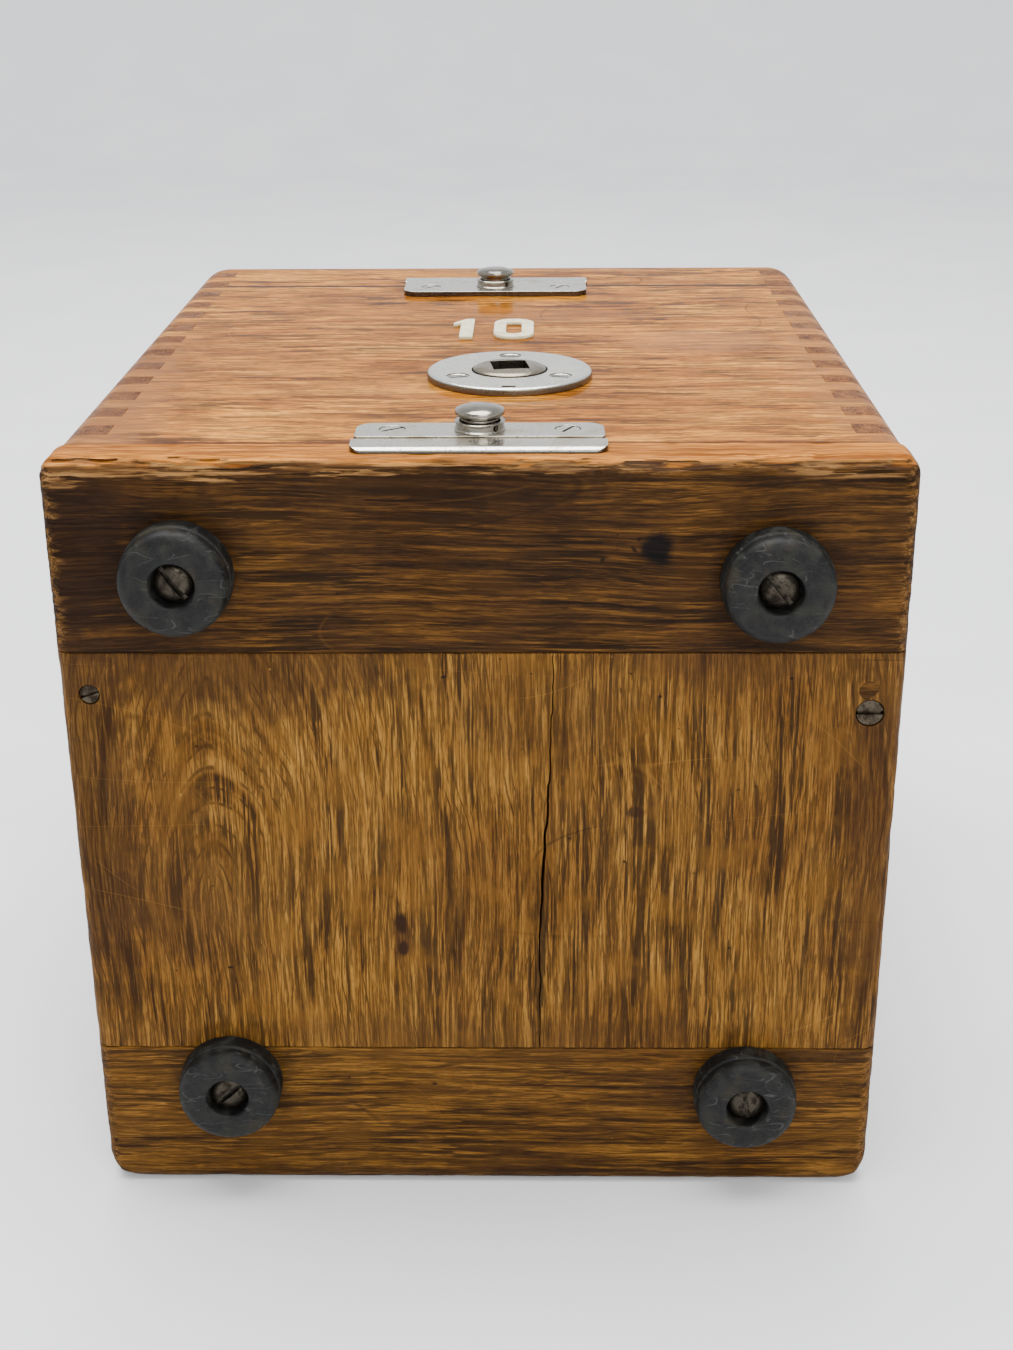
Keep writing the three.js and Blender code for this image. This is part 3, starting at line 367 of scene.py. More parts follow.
def oak(name, axes, box, shades, varnish, reach=2.5, band=3.0, sway=14.0, blots=(), wear=0.8, rough=0.42,
        shine=0.2, ring=1.4, scores=(), honey=False, ends=0.4, coarse=1.0, arch=None):
    """varnished oak: axes are the board's across, along and through, and box is its worn edges;
    shades are dark, middle, pale and pore; a blot is a centre, size, colour and strength; a score is
    two points and a bow in x and z, and a width, dark where it is cut and pale where it is a hair"""
    material, tree, surface, place = new_material(
        name, {"Coat Weight": varnish, "Coat Roughness": 0.09, "Specular IOR Level": shine})
    dark, middle, pale, pore = (paint(*shade) for shade in shades)
    parts = parts_of(tree, place)
    own = put(tree, "CombineXYZ", {i: parts["xyz".index(axis)] for i, axis in enumerate(axes)}).outputs[0]
    own = vector_calc(tree, "DIVIDE", own, (coarse, 1.0, coarse))
    figure = arched(tree, own, *arch) if arch else own
    grain = place_effect(
        tree, oak_grain, {"Position": own, "Figure": figure, "Band": band, "Sway": sway, "Ring": ring})
    toned = put(tree, "ValToRGB", {0: grain["Tone"]})
    ramp = toned.color_ramp.elements
    ramp[0].color, ramp[1].color = dark, pale
    ramp.new(0.48).color = middle
    fleck = remap(tree, grain["Fibre"], 0.38, 0.62, 0.0, 0.75)
    colour = shaded(tree, toned.outputs[0], (0.62, 0.58, 0.52), fleck)
    smoky = remap(tree, speckle(tree, place, (0.021, 0.021, 0.021), 4), 0.44, 0.66, 0.0, 0.65)
    colour = shaded(tree, colour, (0.5, 0.42, 0.36), smoky)
    colour = tint(tree, times(tree, grain["Pores"], 0.85), colour, pore)
    grubby = remap(tree, speckle(tree, place, (0.09, 0.11, 0.1), 6), 0.5, 0.66, 0.0, 0.42)
    colour = tint(tree, grubby, colour, dark)
    end_grain = remap(tree, calc(tree, "ABSOLUTE", facing(tree, axes[1])), 0.55, 0.9, 0.0, ends)
    colour = shaded(tree, colour, (0.36, 0.3, 0.26), end_grain)
    for centre, size, shade, strength in blots:
        mask = place_effect(tree, blot, {"Position": place, "Centre": centre, "Size": size})["Mask"]
        colour = tint(tree, times(tree, mask, strength), colour, paint(*shade))
    hairs = place_effect(tree, scratches, {"Position": place, "Spacing": 48.0, "Width": 0.0018})["Mask"]
    apart = vector_calc(tree, "ADD", place, (311, 97, 53))
    cuts = place_effect(tree, scratches, {"Position": apart, "Spacing": 95.0, "Width": 0.0016})["Mask"]
    colour = tint(tree, times(tree, hairs, 0.16), colour, pale)
    colour = tint(tree, times(tree, cuts, 0.45), colour, pore)
    rubbed = place_effect(tree, edge_wear, {"Position": place, "Grain": own, "Low": box[0], "High": box[1],
                                            "Reach": reach})["Mask"]
    bare = tint(tree, remap(tree, grain["Fibre"], 0.38, 0.62), paint(88, 60, 30), paint(158, 118, 70))
    bare = tint(tree, times(tree, grain["Pores"], 0.7), bare, dark)
    colour = tint(tree, times(tree, rubbed, wear), colour, bare)
    scored, hair_width = 0.0, 0.25
    for start, end, bow, width in scores:
        corners = {label: (x, 0, z) for label, (x, z) in (("From", start), ("To", end), ("Bow", bow))}
        line = place_effect(tree, score, {"Position": place, "Width": width, **corners})["Mask"]
        scored = calc(tree, "MAXIMUM", scored, line)
        strength, filling = (0.9, pore) if width > hair_width else (0.6, pale)
        colour = tint(tree, times(tree, line, strength), colour, filling)
    if honey:
        colour = honey_face(tree, colour, grain, own, place, box[1][2])
    roughness = plus(tree, rough, times(tree, grain["Pores"], 0.2))
    roughness = plus(tree, roughness, times(tree, rubbed, 0.3))
    patchy = remap(tree, speckle(tree, place, (0.05, 0.05, 0.05), 4), 0.4, 0.7, -0.06, 0.1)
    height = less(tree, times(tree, grain["Fibre"], 0.25), grain["Pores"])
    height = less(tree, less(tree, height, times(tree, cuts, 1.2)), scored)
    height = plus(tree, height, times(tree, speckle(tree, place, (0.4, 0.4, 0.4), 3), 0.5))
    feed(tree, surface, Base_Color=colour, Roughness=plus(tree, roughness, patchy),
         Coat_Weight=times(tree, remap(tree, rubbed, 0.7, 0.1), varnish), Normal=relief(tree, height, 0.07))
    return material


def as_mesh(build, name="shape"):
    mesh = bpy.data.meshes.new(name)
    bmesh.ops.recalc_face_normals(build, faces=build.faces)
    build.to_mesh(mesh)
    build.free()
    return mesh


def carved(mesh, *cuts):
    """a mesh after its cuts: each is a mesh and DIFFERENCE, UNION or INTERSECT"""
    link = bpy.context.scene.collection.objects.link
    blank = bpy.data.objects.new("blank", mesh)
    link(blank)
    tools = []
    for tool_mesh, operation in cuts:
        tool = bpy.data.objects.new("tool", tool_mesh)
        link(tool)
        tools.append(tool)
        cut = blank.modifiers.new("cut", "BOOLEAN")
        cut.object, cut.operation, cut.solver = tool, operation, "EXACT"
    result = bpy.data.meshes.new_from_object(blank.evaluated_get(bpy.context.evaluated_depsgraph_get()))
    for spent in (blank, *tools):
        bpy.data.objects.remove(spent)
    return result


def moved(mesh, x, y, z=0):
    """puts a mesh's origin at a point in millimetres"""
    mesh.transform(Matrix.Translation((x * MM, y * MM, z * MM)))
    return mesh


def facing_front(mesh, x, y, z):
    """turns a mesh's +Z to the front and puts its origin at a point in millimetres"""
    mesh.transform(Matrix.Rotation(math.pi / 2, 4, "X"))
    return moved(mesh, x, y, z)


def show(name, mesh, material, body, slot, *nodes, sharp=32):
    """shows a mesh as a piece of the object, in place of the frame's plain nodes"""
    piece = bpy.data.objects.new(name, mesh)
    bpy.context.scene.collection.objects.link(piece)
    mesh.materials.clear()
    for coat in material if isinstance(material, tuple) else (material,):
        mesh.materials.append(coat)
    mesh.shade_smooth()
    mesh.set_sharp_from_angle(angle=math.radians(sharp))
    piece.modifiers.new("flat_faces", "WEIGHTED_NORMAL").keep_sharp = True
    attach(piece, body)
    if nodes:
        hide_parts(*nodes)
    return piece


def box_of(node):
    """the low and high corners of a piece in the frame, in millimetres"""
    return tuple(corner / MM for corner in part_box(node))


def centre_of(node):
    return sum(box_of(node), Vector()) / 2


upper_box, lower_box = box_of("base_batten_upper"), box_of("base_batten_lower")
board_low = tuple(map(min, upper_box[0], lower_box[0]))
board_high = tuple(map(max, upper_box[1], lower_box[1]))
front, back = board_low[1], board_high[1]
upper_joint, lower_joint = upper_box[0].z, lower_box[1].z
# the crack's height, middle and half width
CRACK = [(20.0, 11.6, 0.05), (37.8, 11.9, 0.09), (65.3, 11.9, 0.2), (80.0, 12.6, 0.32),
         (93.7, 13.5, 0.24), (108.0, 14.1, 0.12), (120.5, 14.5, 0.09), (132.0, 14.6, 0.06)]
CRACK_COLUMN = 12.7


def lumpy(x, y, z):
    """smooth unevenness at a place, about -1 to 1"""
    return noise.noise(Vector((x, y, z)))


def crack_at(z):
    """the crack's middle in x and its half width, at a height, in millimetres"""
    for (z0, x0, w0), (z1, x1, w1) in zip(CRACK, CRACK[1:]):
        if z0 <= z <= z1:
            share = (z - z0) / (z1 - z0)
            wander = 0.4 * lumpy(z / 5, 3, 1) + 0.22 * lumpy(z / 1.4, 5, 2)
            return x0 + (x1 - x0) * share + wander, w0 + (w1 - w0) * share
    return CRACK[0][1] if z < CRACK[0][0] else CRACK[-1][1], 0.03


def lines_between(low, high, step, eased_low, eased_high):
    """grid lines across a board, closer together where its edge is rounded off"""
    close = (0, 0.2, 0.5, 0.9, 1.4, 2.0, 2.7, 3.5, 4.3)
    starts = [low + c for c in close] if eased_low else [low, low + 0.25, low + 0.6]
    ends = [high - c for c in reversed(close)] if eased_high else [high - 0.6, high - 0.25, high]
    count = max(1, round((ends[0] - starts[-1]) / step))
    middle = [starts[-1] + (ends[0] - starts[-1]) * i / count for i in range(1, count)]
    return starts + middle + ends


def opened(u, v):
    """a grid point moved beside the crack, less and less away from it"""
    middle, half = crack_at(v)
    away = u - CRACK_COLUMN
    split = away * half if abs(away) < 1 else math.copysign(half + abs(away) - 1, away)
    ease = min(1.0, abs(away) / 30)
    return (middle + split) * (1 - ease) + u * ease


def worn_away(x, z, from_side, from_end, grain_axis, is_top):
    """how far the face has gone back: rubbed round at its edge, splintered along the grain, and dented"""
    round_off, deepest = 3.2, 4.6
    nearest = min(from_side, from_end)
    inward = round_off - math.sqrt(max(0.0, round_off ** 2 - max(0.0, round_off - nearest) ** 2))
    along, over = (x, z) if grain_axis == "x" else (z, x)
    splinters = lumpy(along / 11, over / 0.75, 5) + 0.6 * lumpy(along / 4, over / 0.45, 9)
    fray = max(0.0, 1 - nearest / (5.0 if is_top and from_end < from_side else 3.0))
    chip = fray * max(0.0, splinters + 0.15) * (1.25 if is_top and from_end < 6 else 0.45)
    if is_top and from_end < 6:
        # the upper edge has lost most at its left corner
        chip *= 0.45 + 0.9 * max(0.0, 0.5 + lumpy(x / 26, 2, 2)) + max(0.0, (-40 - x) / 60)
    swell = 0.09 * lumpy(x / 21, z / 23, 4) + 0.03 * lumpy(x / 3, z / 3, 8)
    dent = 0.5 * max(0.0, lumpy(x / 6, z / 6, 31) - 0.62)
    return min(deepest, inward + chip + max(0.0, swell + 0.12) * 0.8 + dent)


def board_mesh(z_low, z_high, grain_axis, crack=False):
    """a slab of the base board, its face and outer edges worn as the wood is"""
    left, bottom = board_low[0], board_low[2]
    right_edge, top = board_high[0], board_high[2]
    is_top, is_bottom = abs(z_high - top) < 0.5, abs(z_low - bottom) < 0.5
    columns = lines_between(left, right_edge, 1.15, True, True)
    if crack:
        columns = sorted([c for c in columns if abs(c - CRACK_COLUMN) > 1.2]
                         + [CRACK_COLUMN - 1, CRACK_COLUMN, CRACK_COLUMN + 1])
    rows = lines_between(z_low, z_high, 0.8 if is_top else 1.1, is_bottom, is_top)
    corner = 4.5 if is_top else 7.5
    end_way = 1 if is_top else -1

    def spot(u, v):
        """a grid point of the front face, in its worn place"""
        x, z = opened(u, v) if crack else u, v
        side = 1 if x > 0 else -1
        from_side = (right_edge - x) if side > 0 else (x - left)
        from_end = (top - z) if is_top else (z - bottom) if is_bottom else 99
        if from_side < corner and from_end < corner:
            a, b = 1 - from_side / corner, 1 - from_end / corner
            x += side * corner * (a * math.sqrt(1 - b * b / 2) - a)
            z += end_way * corner * (b * math.sqrt(1 - a * a / 2) - b)
            from_side, from_end = (min(from_side, from_end),
                                   99 if max(a, b) == 0 else max(from_side, from_end))
        y = front + worn_away(x, z, from_side, from_end, grain_axis, is_top)
        if crack and abs(u - CRACK_COLUMN) < 0.5:
            y += min(4.0, 1.2 + 8.0 * crack_at(v)[1])
        nibble = 0.3 * max(0.0, lumpy(x / 7, z / 7, 77)) + 0.12 * max(0.0, lumpy(x / 1.7, z / 1.7, 7 / 1.7))
        if from_side < 0.6:
            x -= side * nibble
        if from_end < 0.6:
            z -= end_way * nibble
        joint = min(z_high - v if not is_top else 9, v - z_low if not is_bottom else 9)
        return x, y + max(0.0, 0.3 - joint) * 1.1, z

    build = bmesh.new()
    skin = [[build.verts.new([value * MM for value in spot(u, v)]) for u in columns] for v in rows]
    for low_row, high_row in zip(skin, skin[1:]):
        for i in range(len(columns) - 1):
            build.faces.new((low_row[i], low_row[i + 1], high_row[i + 1], high_row[i]))
    border = skin[0] + [row[-1] for row in skin[1:]] + skin[-1][-2::-1] + [row[0] for row in skin[-2:0:-1]]
    ring = border
    for share in (0.15, 0.35, 0.6, 0.85, 1.0):
        following = []
        for vertex in border:
            x, y, z = vertex.co
            scuff = 0.22 * MM * abs(noise.noise(Vector((x, share / 40, z)) * 240)) if share < 1 else 0.0
            pull = Vector((math.copysign(scuff, -x) if abs(x) > 0.08 else 0, 0, 0))
            following.append(build.verts.new(Vector((x, y + (back * MM - y) * share, z)) + pull))
        for i in range(len(ring)):
            j = (i + 1) % len(ring)
            build.faces.new((ring[i], ring[j], following[j], following[i]))
        ring = following
    build.faces.new(ring)
    return as_mesh(build)


feet = {corner: centre_of("foot_" + corner)
        for corner in ("upper_left", "upper_right", "lower_left", "lower_right")}
# grime gathers round the feet
foot_blots = {
    row: [((feet[f"{row}_{side}"].x, front + 2, feet[f"{row}_{side}"].z + rise), (17.0, 40.0, 17.0),
           (20, 12, 5), 0.45) for side in ("left", "right")]
    for row, rise in (("upper", 3), ("lower", 2))
}
edge_box = (board_low, (board_high[0], board_high[1] + 4, board_high[2]))
batten_upper_oak = oak(
    "batten_upper_oak", "zxy", edge_box, ((56, 34, 11), (80, 51, 17), (102, 68, 26), (18, 11, 5)), 0.04,
    reach=3.0, band=1.3, sway=9, wear=0.7, rough=0.6, shine=0.06, ring=1.7, honey=True,
    scores=[((24, 148), (31, 152), (0, 0.6), 0.45), ((27, 153), (36, 147), (0, -1), 0.4),
            ((-62, 166), (-47, 158), (0, -1), 0.3), ((-28, 141), (-9, 149), (0, 1.4), 0.28)],
    blots=foot_blots["upper"] + [((34.5, front, 150), (4.5, 30, 4.5), (6, 5, 6), 0.95),
                                 ((-10, front, 168), (60, 40, 14), (30, 17, 7), 0.5),
                                 ((-78, front, 150), (13, 40, 26), (26, 14, 6), 0.6)])
# the scores are long cuts first, then pale hairs, then short cuts; the blots are the knot, then old grime
centre_oak = oak(
    "centre_oak", "xzy", edge_box, ((108, 72, 24), (134, 93, 36), (154, 111, 48), (22, 13, 6)), 0.04,
    reach=2.4, band=1.1, sway=2.5, wear=0.6, rough=0.55, shine=0.06, ring=1.35, arch=(-55, 84, 2.6),
    scores=[((18, 87), (44, 79), (0, -1.8), 0.4), ((-4, 108), (19, 104), (0, 1.6), 0.36),
            ((10, 124), (46, 106), (0, 1.2), 0.3), ((-20, 121), (4, 127), (0, -0.8), 0.26),
            ((-58, 108), (-49, 121), (0, 0.5), 0.3), ((52, 61), (66, 74), (0, 1.1), 0.28),
            ((-66, 55), (-44, 59), (0, -1.2), 0.26),
            ((-42, 125), (-62, 97), (1.2, 0), 0.22), ((-28, 58), (-16, 71), (1, 0), 0.2),
            ((22, 129), (36, 119), (0, 0.7), 0.3), ((26, 127), (29, 113), (0.6, 0), 0.28),
            ((40, 112), (56, 99), (0, 1), 0.3), ((44, 97), (60, 101), (0, -0.8), 0.3),
            ((30, 118), (62, 123), (0, -1.6), 0.26)],
    blots=[((-17.3, front, 66.6), (1.7, 30, 3.4), (12, 7, 4), 1.0),
           ((-17.1, front, 60.8), (1.4, 30, 2.8), (13, 8, 4), 1.0),
           ((-17.2, front, 63.5), (2.8, 30, 7.5), (52, 30, 12), 0.6),
           ((31.5, front, 93), (2.4, 30, 1.6), (40, 22, 9), 0.8),
           ((-82, front, 100), (15, 40, 70), (44, 25, 10), 0.6),
           ((82, front, 90), (11, 40, 70), (46, 26, 10), 0.55),
           ((-46, front, 128), (44, 40, 18), (52, 32, 13), 0.6),
           ((52, front, 130), (40, 40, 12), (54, 32, 13), 0.5),
           ((12, front, 116), (26, 40, 14), (58, 36, 14), 0.4),
           ((-62, front, 74), (22, 40, 22), (60, 38, 15), 0.4),
           ((0, front, 39), (90, 40, 6), (64, 40, 16), 0.4)])
batten_lower_oak = oak(
    "batten_lower_oak", "zxy", edge_box, ((78, 50, 15), (108, 73, 24), (132, 91, 35), (26, 15, 6)), 0.04,
    reach=2.2, band=1.3, sway=4, wear=0.55, rough=0.55, shine=0.06, ring=1.5,
    scores=[((-30, 28), (6, 22), (0, 1.5), 0.26), ((28, 12), (52, 17), (0, -1.0), 0.24)],
    blots=foot_blots["lower"] + [((0, front, 0), (120, 40, 6), (36, 20, 8), 0.5)])
for name, slot, z_low, z_high, grain_axis, coat in (
    ("base_batten_upper", "oak_batten_upper", upper_joint, board_high[2], "x", batten_upper_oak),
    ("base_board", "oak_board", lower_joint, upper_joint, "z", centre_oak),
    ("base_batten_lower", "oak_batten_lower", board_low[2], lower_joint, "x", batten_lower_oak),
):
    slab = board_mesh(z_low, z_high, grain_axis, crack=name == "base_board")
    if name == "base_board":
        for screw in ("base_screw_left", "base_screw_right"):
            low, high = box_of(screw)
            centre, radius = centre_of(screw), (high.x - low.x) / 2 + 0.15
            well = lathe([(0, -3), (radius, -3), (radius, 3), (0, 3)], 48)
            slab = carved(slab, (facing_front(well, centre.x, front, centre.z), "DIFFERENCE"))
    show(name + "_worn", slab, coat, "case", slot, name, sharp=50)

# ---- case walls ----
# Four oak boards finger-jointed along the case's long edges, the grain running round the case.
# The key wall on top is the best board, with a glossy honey varnish; the others are plainer.
def rounded_outline(low, high, radii, steps=10):
    """a rectangle's outline, its corners turned: lower left, lower right, upper right, upper left"""
    corners = [(low[0], low[1], 1, 1), (high[0], low[1], -1, 1), (high[0], high[1], -1, -1),
               (low[0], high[1], 1, -1)]
    points = []
    for turn, ((x, y, way_x, way_y), radius) in enumerate(zip(corners, radii)):
        for i in range(steps + 1):
            angle = math.pi + math.pi / 2 * (turn + i / steps)
            points.append((x + way_x * radius + radius * math.cos(angle),
                           y + way_y * radius + radius * math.sin(angle)))
    return list(dict.fromkeys(points))


def extruded(outline, span, axis):
    """a solid of one outline: drawn in x and y for axis z, in x and z for y, and in y and z for x"""
    build = bmesh.new()
    ends = []
    for w in span:
        spots = {"z": lambda u, v: (u, v, w), "y": lambda u, v: (u, w, v), "x": lambda u, v: (w, u, v)}[axis]
        ends.append([build.verts.new([value * MM for value in spots(u, v)]) for u, v in outline])
    for i in range(len(outline)):
        j = (i + 1) % len(outline)
        build.faces.new((ends[0][i], ends[0][j], ends[1][j], ends[1][i]))
    build.faces.new(ends[0])
    build.faces.new(ends[1])
    return as_mesh(build)


def eased(mesh, width, steps=2, seam=0):
    """takes the arrises off a mesh; seam is the material the new narrow faces get"""
    build = bmesh.new()
    build.from_mesh(mesh)
    bmesh.ops.remove_doubles(build, verts=build.verts, dist=2e-6)
    bmesh.ops.dissolve_limit(build, angle_limit=math.radians(0.7), verts=build.verts, edges=build.edges)
    sharp = [e for e in build.edges if len(e.link_faces) == 2 and e.calc_face_angle(0) > math.radians(33)]
    bmesh.ops.bevel(build, geom=sharp, offset=width * MM, segments=steps, profile=0.5, affect="EDGES",
                    clamp_overlap=True, material=seam)
    return as_mesh(build)


def box_mesh(low, high):
    outline = [(low[0], low[1]), (high[0], low[1]), (high[0], high[1]), (low[0], high[1])]
    return extruded(outline, (low[2], high[2]), "z")


wall_low, wall_high = box_of("key_wall")
case_start, case_end, lid_end = wall_low.y, wall_high.y, box_of("lid_key_wall")[1].y
half_width, wall_top, thick = wall_high.x, wall_high.z, wall_high.z - wall_low.z
FINGER = 7.0
wood_box = ((-half_width, case_start - 8, 0.0), (half_width, lid_end, wall_top))
seam_dirt, tree, surface, place = new_material("seam_dirt", {"Roughness": 0.7})
settled = remap(tree, speckle(tree, place, (0.3, 0.3, 0.3), 3), 0.35, 0.65)
feed(tree, surface, Base_Color=tint(tree, settled, paint(30, 17, 8), paint(66, 40, 20)))
key_oak = oak(
    "key_wall_oak", "yxz", wood_box, ((146, 84, 22), (188, 120, 36), (204, 140, 52), (44, 22, 6)), 0.27,
    reach=2.0, band=1.6, sway=5, wear=0.35, rough=0.5, shine=0.0, ring=1.7, coarse=2.4,
    blots=[((0, case_end, wall_top), (400, 1.6, 90), (46, 24, 8), 0.95),
           ((0, case_start + 0.2, wall_top), (400, 1.2, 90), (60, 26, 8), 0.8),
           ((-80, case_start, wall_top), (18, 120, 30), (128, 84, 46), 0.55),
           ((82, case_start + 60, wall_top), (16, 110, 30), (128, 84, 46), 0.5),
           ((12, case_end - 40, wall_top), (34, 12, 30), (120, 74, 36), 0.5),
           ((50, case_end - 70, wall_top), (26, 16, 30), (150, 98, 54), 0.45),
           ((0, lid_end - 4, wall_top), (90, 14, 30), (134, 88, 48), 0.45)])
side_oak = oak(
    "side_wall_oak", "yzx", wood_box, ((118, 66, 20), (156, 94, 30), (178, 116, 44), (62, 34, 10)), 0.12,
    ends=0.5, shine=0.05, reach=2.6, band=1.8, sway=8, wear=0.7, rough=0.42)
back_oak = oak(
    "back_wall_oak", "yxz", wood_box, ((92, 52, 16), (134, 82, 28), (160, 104, 42), (46, 25, 9)), 0.12,
    reach=2.6, band=1.8, sway=8, wear=0.7, rough=0.5,
    blots=[((20, 30, 0), (70, 60, 30), (70, 44, 24), 0.4)])


def fingers(inner, outer, start, end, first, parity):
    """a board's outline, its fingers of one parity reaching the outer lines; drawn across and along"""
    near_side, far_side = [], []
    for i in range(round((end - start) / FINGER)):
        reach = outer if (first + i) % 2 == parity else inner
        span = (start + i * FINGER, start + (i + 1) * FINGER)
        near_side += [(reach[0], span[0]), (reach[0], span[1])]
        far_side = [(reach[1], span[1]), (reach[1], span[0])] + far_side
    return near_side + far_side


# the case's long edges are rounded, and the lid's far corners more, both in plan and from the side
LONG_EDGE, LID_CORNER, LID_EDGE, SQUARE = 4.5, 24, 9, 0.5
WELL_INSIDE = -60
case_section = extruded(
    rounded_outline((-half_width, 0), (half_width, wall_top), [LONG_EDGE] * 4, 12),
    (case_start - 1, lid_end + 1), "y")
lid_plan = extruded(
    rounded_outline((-half_width, WELL_INSIDE), (half_width, lid_end), [SQUARE] * 2 + [LID_CORNER] * 2, 12),
    (-1, wall_top + 1), "z")
lid_side = extruded(
    rounded_outline((WELL_INSIDE, 0), (lid_end, wall_top), [SQUARE, LID_EDGE, LID_EDGE, SQUARE], 12),
    (-half_width - 1, half_width + 1), "x")


def post(radius, low, high, x, y, steps=40):
    """an upright round cutter"""
    return moved(lathe([(0, low), (radius, low), (radius, high), (0, high)], steps), x, y)


studs = {name: centre_of(name + "_catch_button") for name in ("base", "lid")}
joints = {"base": (case_start, 1), "lid": (case_end, -1)}
key_centre = centre_of("escutcheon")
fork_slots = {}
for name, (joint, way) in joints.items():
    near, far = sorted((joint - 3.5 * way, joint + 8.9 * way))
    fork_slots[name] = box_mesh((-7.3, near, wall_top - 1.6), (7.3, far, wall_top + 1))
below, over = wall_top - thick - 1, wall_top + 1
key_wall_cuts = list(fork_slots.values())
for stud in studs.values():
    key_wall_cuts += [post(4.1, wall_top - 6, over, stud.x, stud.y), post(1.9, below, over, stud.x, stud.y)]
key_wall_cuts.append(post(7.7, below, over, key_centre.x, key_centre.y))
key_wall_cuts.append(post(10.3, wall_top - 4.6, over, key_centre.x, key_centre.y))
bushes = [centre_of("cable_bush_" + side) for side in ("left", "right")]
bush_holes = [post(7.3, -1, thick + 1, bush.x, bush.y) for bush in bushes]
inner_x, inner_top = half_width - thick, wall_top - thick
whole_x, whole_z = (-half_width, half_width), (0, wall_top)


def show_wall(name, wall, body, coat, slot, cuts=()):
    """trims a wall to the rounded shape of the case or the lid, and cuts its holes"""
    shapes = [case_section] if body == "case" else [case_section, lid_plan, lid_side]
    wall = carved(wall, *[(shape.copy(), "INTERSECT") for shape in shapes],
                  *[(cut.copy(), "DIFFERENCE") for cut in cuts])
    show(name + "_oak", eased(wall, 0.2, 1, 1), (coat, seam_dirt), body, slot, name)


CASE_SPAN, LID_SPAN = (case_start, case_end, 0), (case_end, lid_end, 23)
for name, body, coat, slot, span, low_z, cuts in (
    ("key_wall", "case", key_oak, "oak_key_wall", CASE_SPAN, inner_top, key_wall_cuts),
    ("back_wall", "case", back_oak, "oak_case", CASE_SPAN, 0, bush_holes),
    ("lid_key_wall", "lid", key_oak, "oak_key_wall", LID_SPAN, inner_top, [fork_slots["lid"]]),
    ("lid_back_wall", "lid", back_oak, "oak_case", LID_SPAN, 0, []),
):
    outline = fingers((-inner_x, inner_x), whole_x, *span, 0)
    show_wall(name, extruded(outline, (low_z, low_z + thick), "z"), body, coat, slot, cuts)
for prefix, body, span in (("", "case", CASE_SPAN), ("lid_", "lid", LID_SPAN)):
    outline = [(along, across) for across, along in fingers((thick, inner_top), whole_z, *span, 1)]
    for side, low_x in (("left", -half_width), ("right", inner_x)):
        wall = extruded(outline, (low_x, low_x + thick), "x")
        show_wall(f"{prefix}{side}_wall", wall, body, side_oak, "oak_case")

# ---- lid board and dowels ----
# The lid's top is an oak board let in between its four walls, level with their ends.
# Two oak dowels in the lid's back wall find the case again when it is put on.
lid_oak = oak(
    "lid_board_oak", "zxy", wood_box, ((100, 58, 18), (146, 90, 30), (172, 114, 48), (50, 28, 10)), 0.16,
    reach=2.0, band=1.8, sway=8, wear=0.6, rough=0.4,
    blots=[((-20, lid_end, 90), (60, 30, 40), (96, 58, 28), 0.4)])
low, high = box_of("lid_board")
lid_board = carved(box_mesh(low, high), (lid_plan.copy(), "INTERSECT"))
show("lid_board_oak", eased(lid_board, 0.25, 2, 1), (lid_oak, seam_dirt), "lid", "oak_case", "lid_board")
for side in ("left", "right"):
    low, high = box_of("lid_dowel_" + side)
    radius, length = (high.x - low.x) / 2, high.y - low.y
    peg = lathe([(0, 0), (radius - 0.8, 0), (radius, 1.2), (radius, length - 1.2), (radius - 0.8, length),
                 (0, length)], 32)
    peg = facing_front(peg, low.x + radius, high.y, low.z + radius)
    show(f"lid_dowel_{side}_peg", peg, side_oak, "lid", "oak_case", "lid_dowel_" + side)

# ---- feet ----
# Hard moulded rubber buffers with a rounded shoulder and a sunk middle, gone grey with dust.
# One round-headed wood screw, sunk in its middle, holds each to a batten of the base board.
dust, given, made = effect("dust", {"Position": ORIGIN, "Grain": 0.2}, ["Mask", "Fine"])
loose = vector_calc(dust, "MULTIPLY", given["Position"], all_ways(dust, given["Grain"]))
loose = speckle(dust, loose, (1, 1, 1), 5)
dust.links.new(remap(dust, loose, 0.45, 0.68), made["Mask"])
dust.links.new(speckle(dust, given["Position"], (2.6, 2.6, 2.6), 3), made["Fine"])
rubber, tree, surface, place = new_material("foot_rubber", {"Specular IOR Level": 0.18})
dusty = place_effect(tree, dust, {"Position": place, "Grain": 0.28})
colour = tint(tree, remap(tree, dusty["Fine"], 0.35, 0.65), paint(7, 7, 7), paint(19, 19, 18))
colour = tint(tree, times(tree, dusty["Mask"], 0.4), colour, paint(52, 52, 46))
nicks = place_effect(tree, scratches, {"Position": place, "Spacing": 5.0, "Width": 0.014})["Mask"]
colour = tint(tree, times(tree, nicks, 0.35), colour, paint(80, 82, 78))
low_dirt = remap(tree, speckle(tree, place, (0.16, 0.16, 0.16), 3), 0.55, 0.7, 0.0, 0.5)
colour = tint(tree, low_dirt, colour, paint(44, 38, 26))
height = less(tree, dusty["Fine"], nicks)
feed(tree, surface, Base_Color=colour, Normal=relief(tree, height, 0.05),
     Roughness=remap(tree, dusty["Mask"], 0.0, 1.0, 0.52, 0.78))


def old_steel(name, bright, dull, pit):
    material, tree, surface, place = new_material(name, {"Metallic": 0.85})
    rusty = place_effect(tree, dust, {"Position": place, "Grain": 0.5})
    colour = tint(tree, rusty["Mask"], paint(*bright), paint(*dull))
    colour = tint(tree, remap(tree, rusty["Fine"], 0.55, 0.7), colour, paint(*pit))
    feed(tree, surface, Base_Color=colour, Normal=relief(tree, rusty["Fine"], 0.05),
         Roughness=remap(tree, rusty["Mask"], 0.0, 1.0, 0.36, 0.68))
    return material


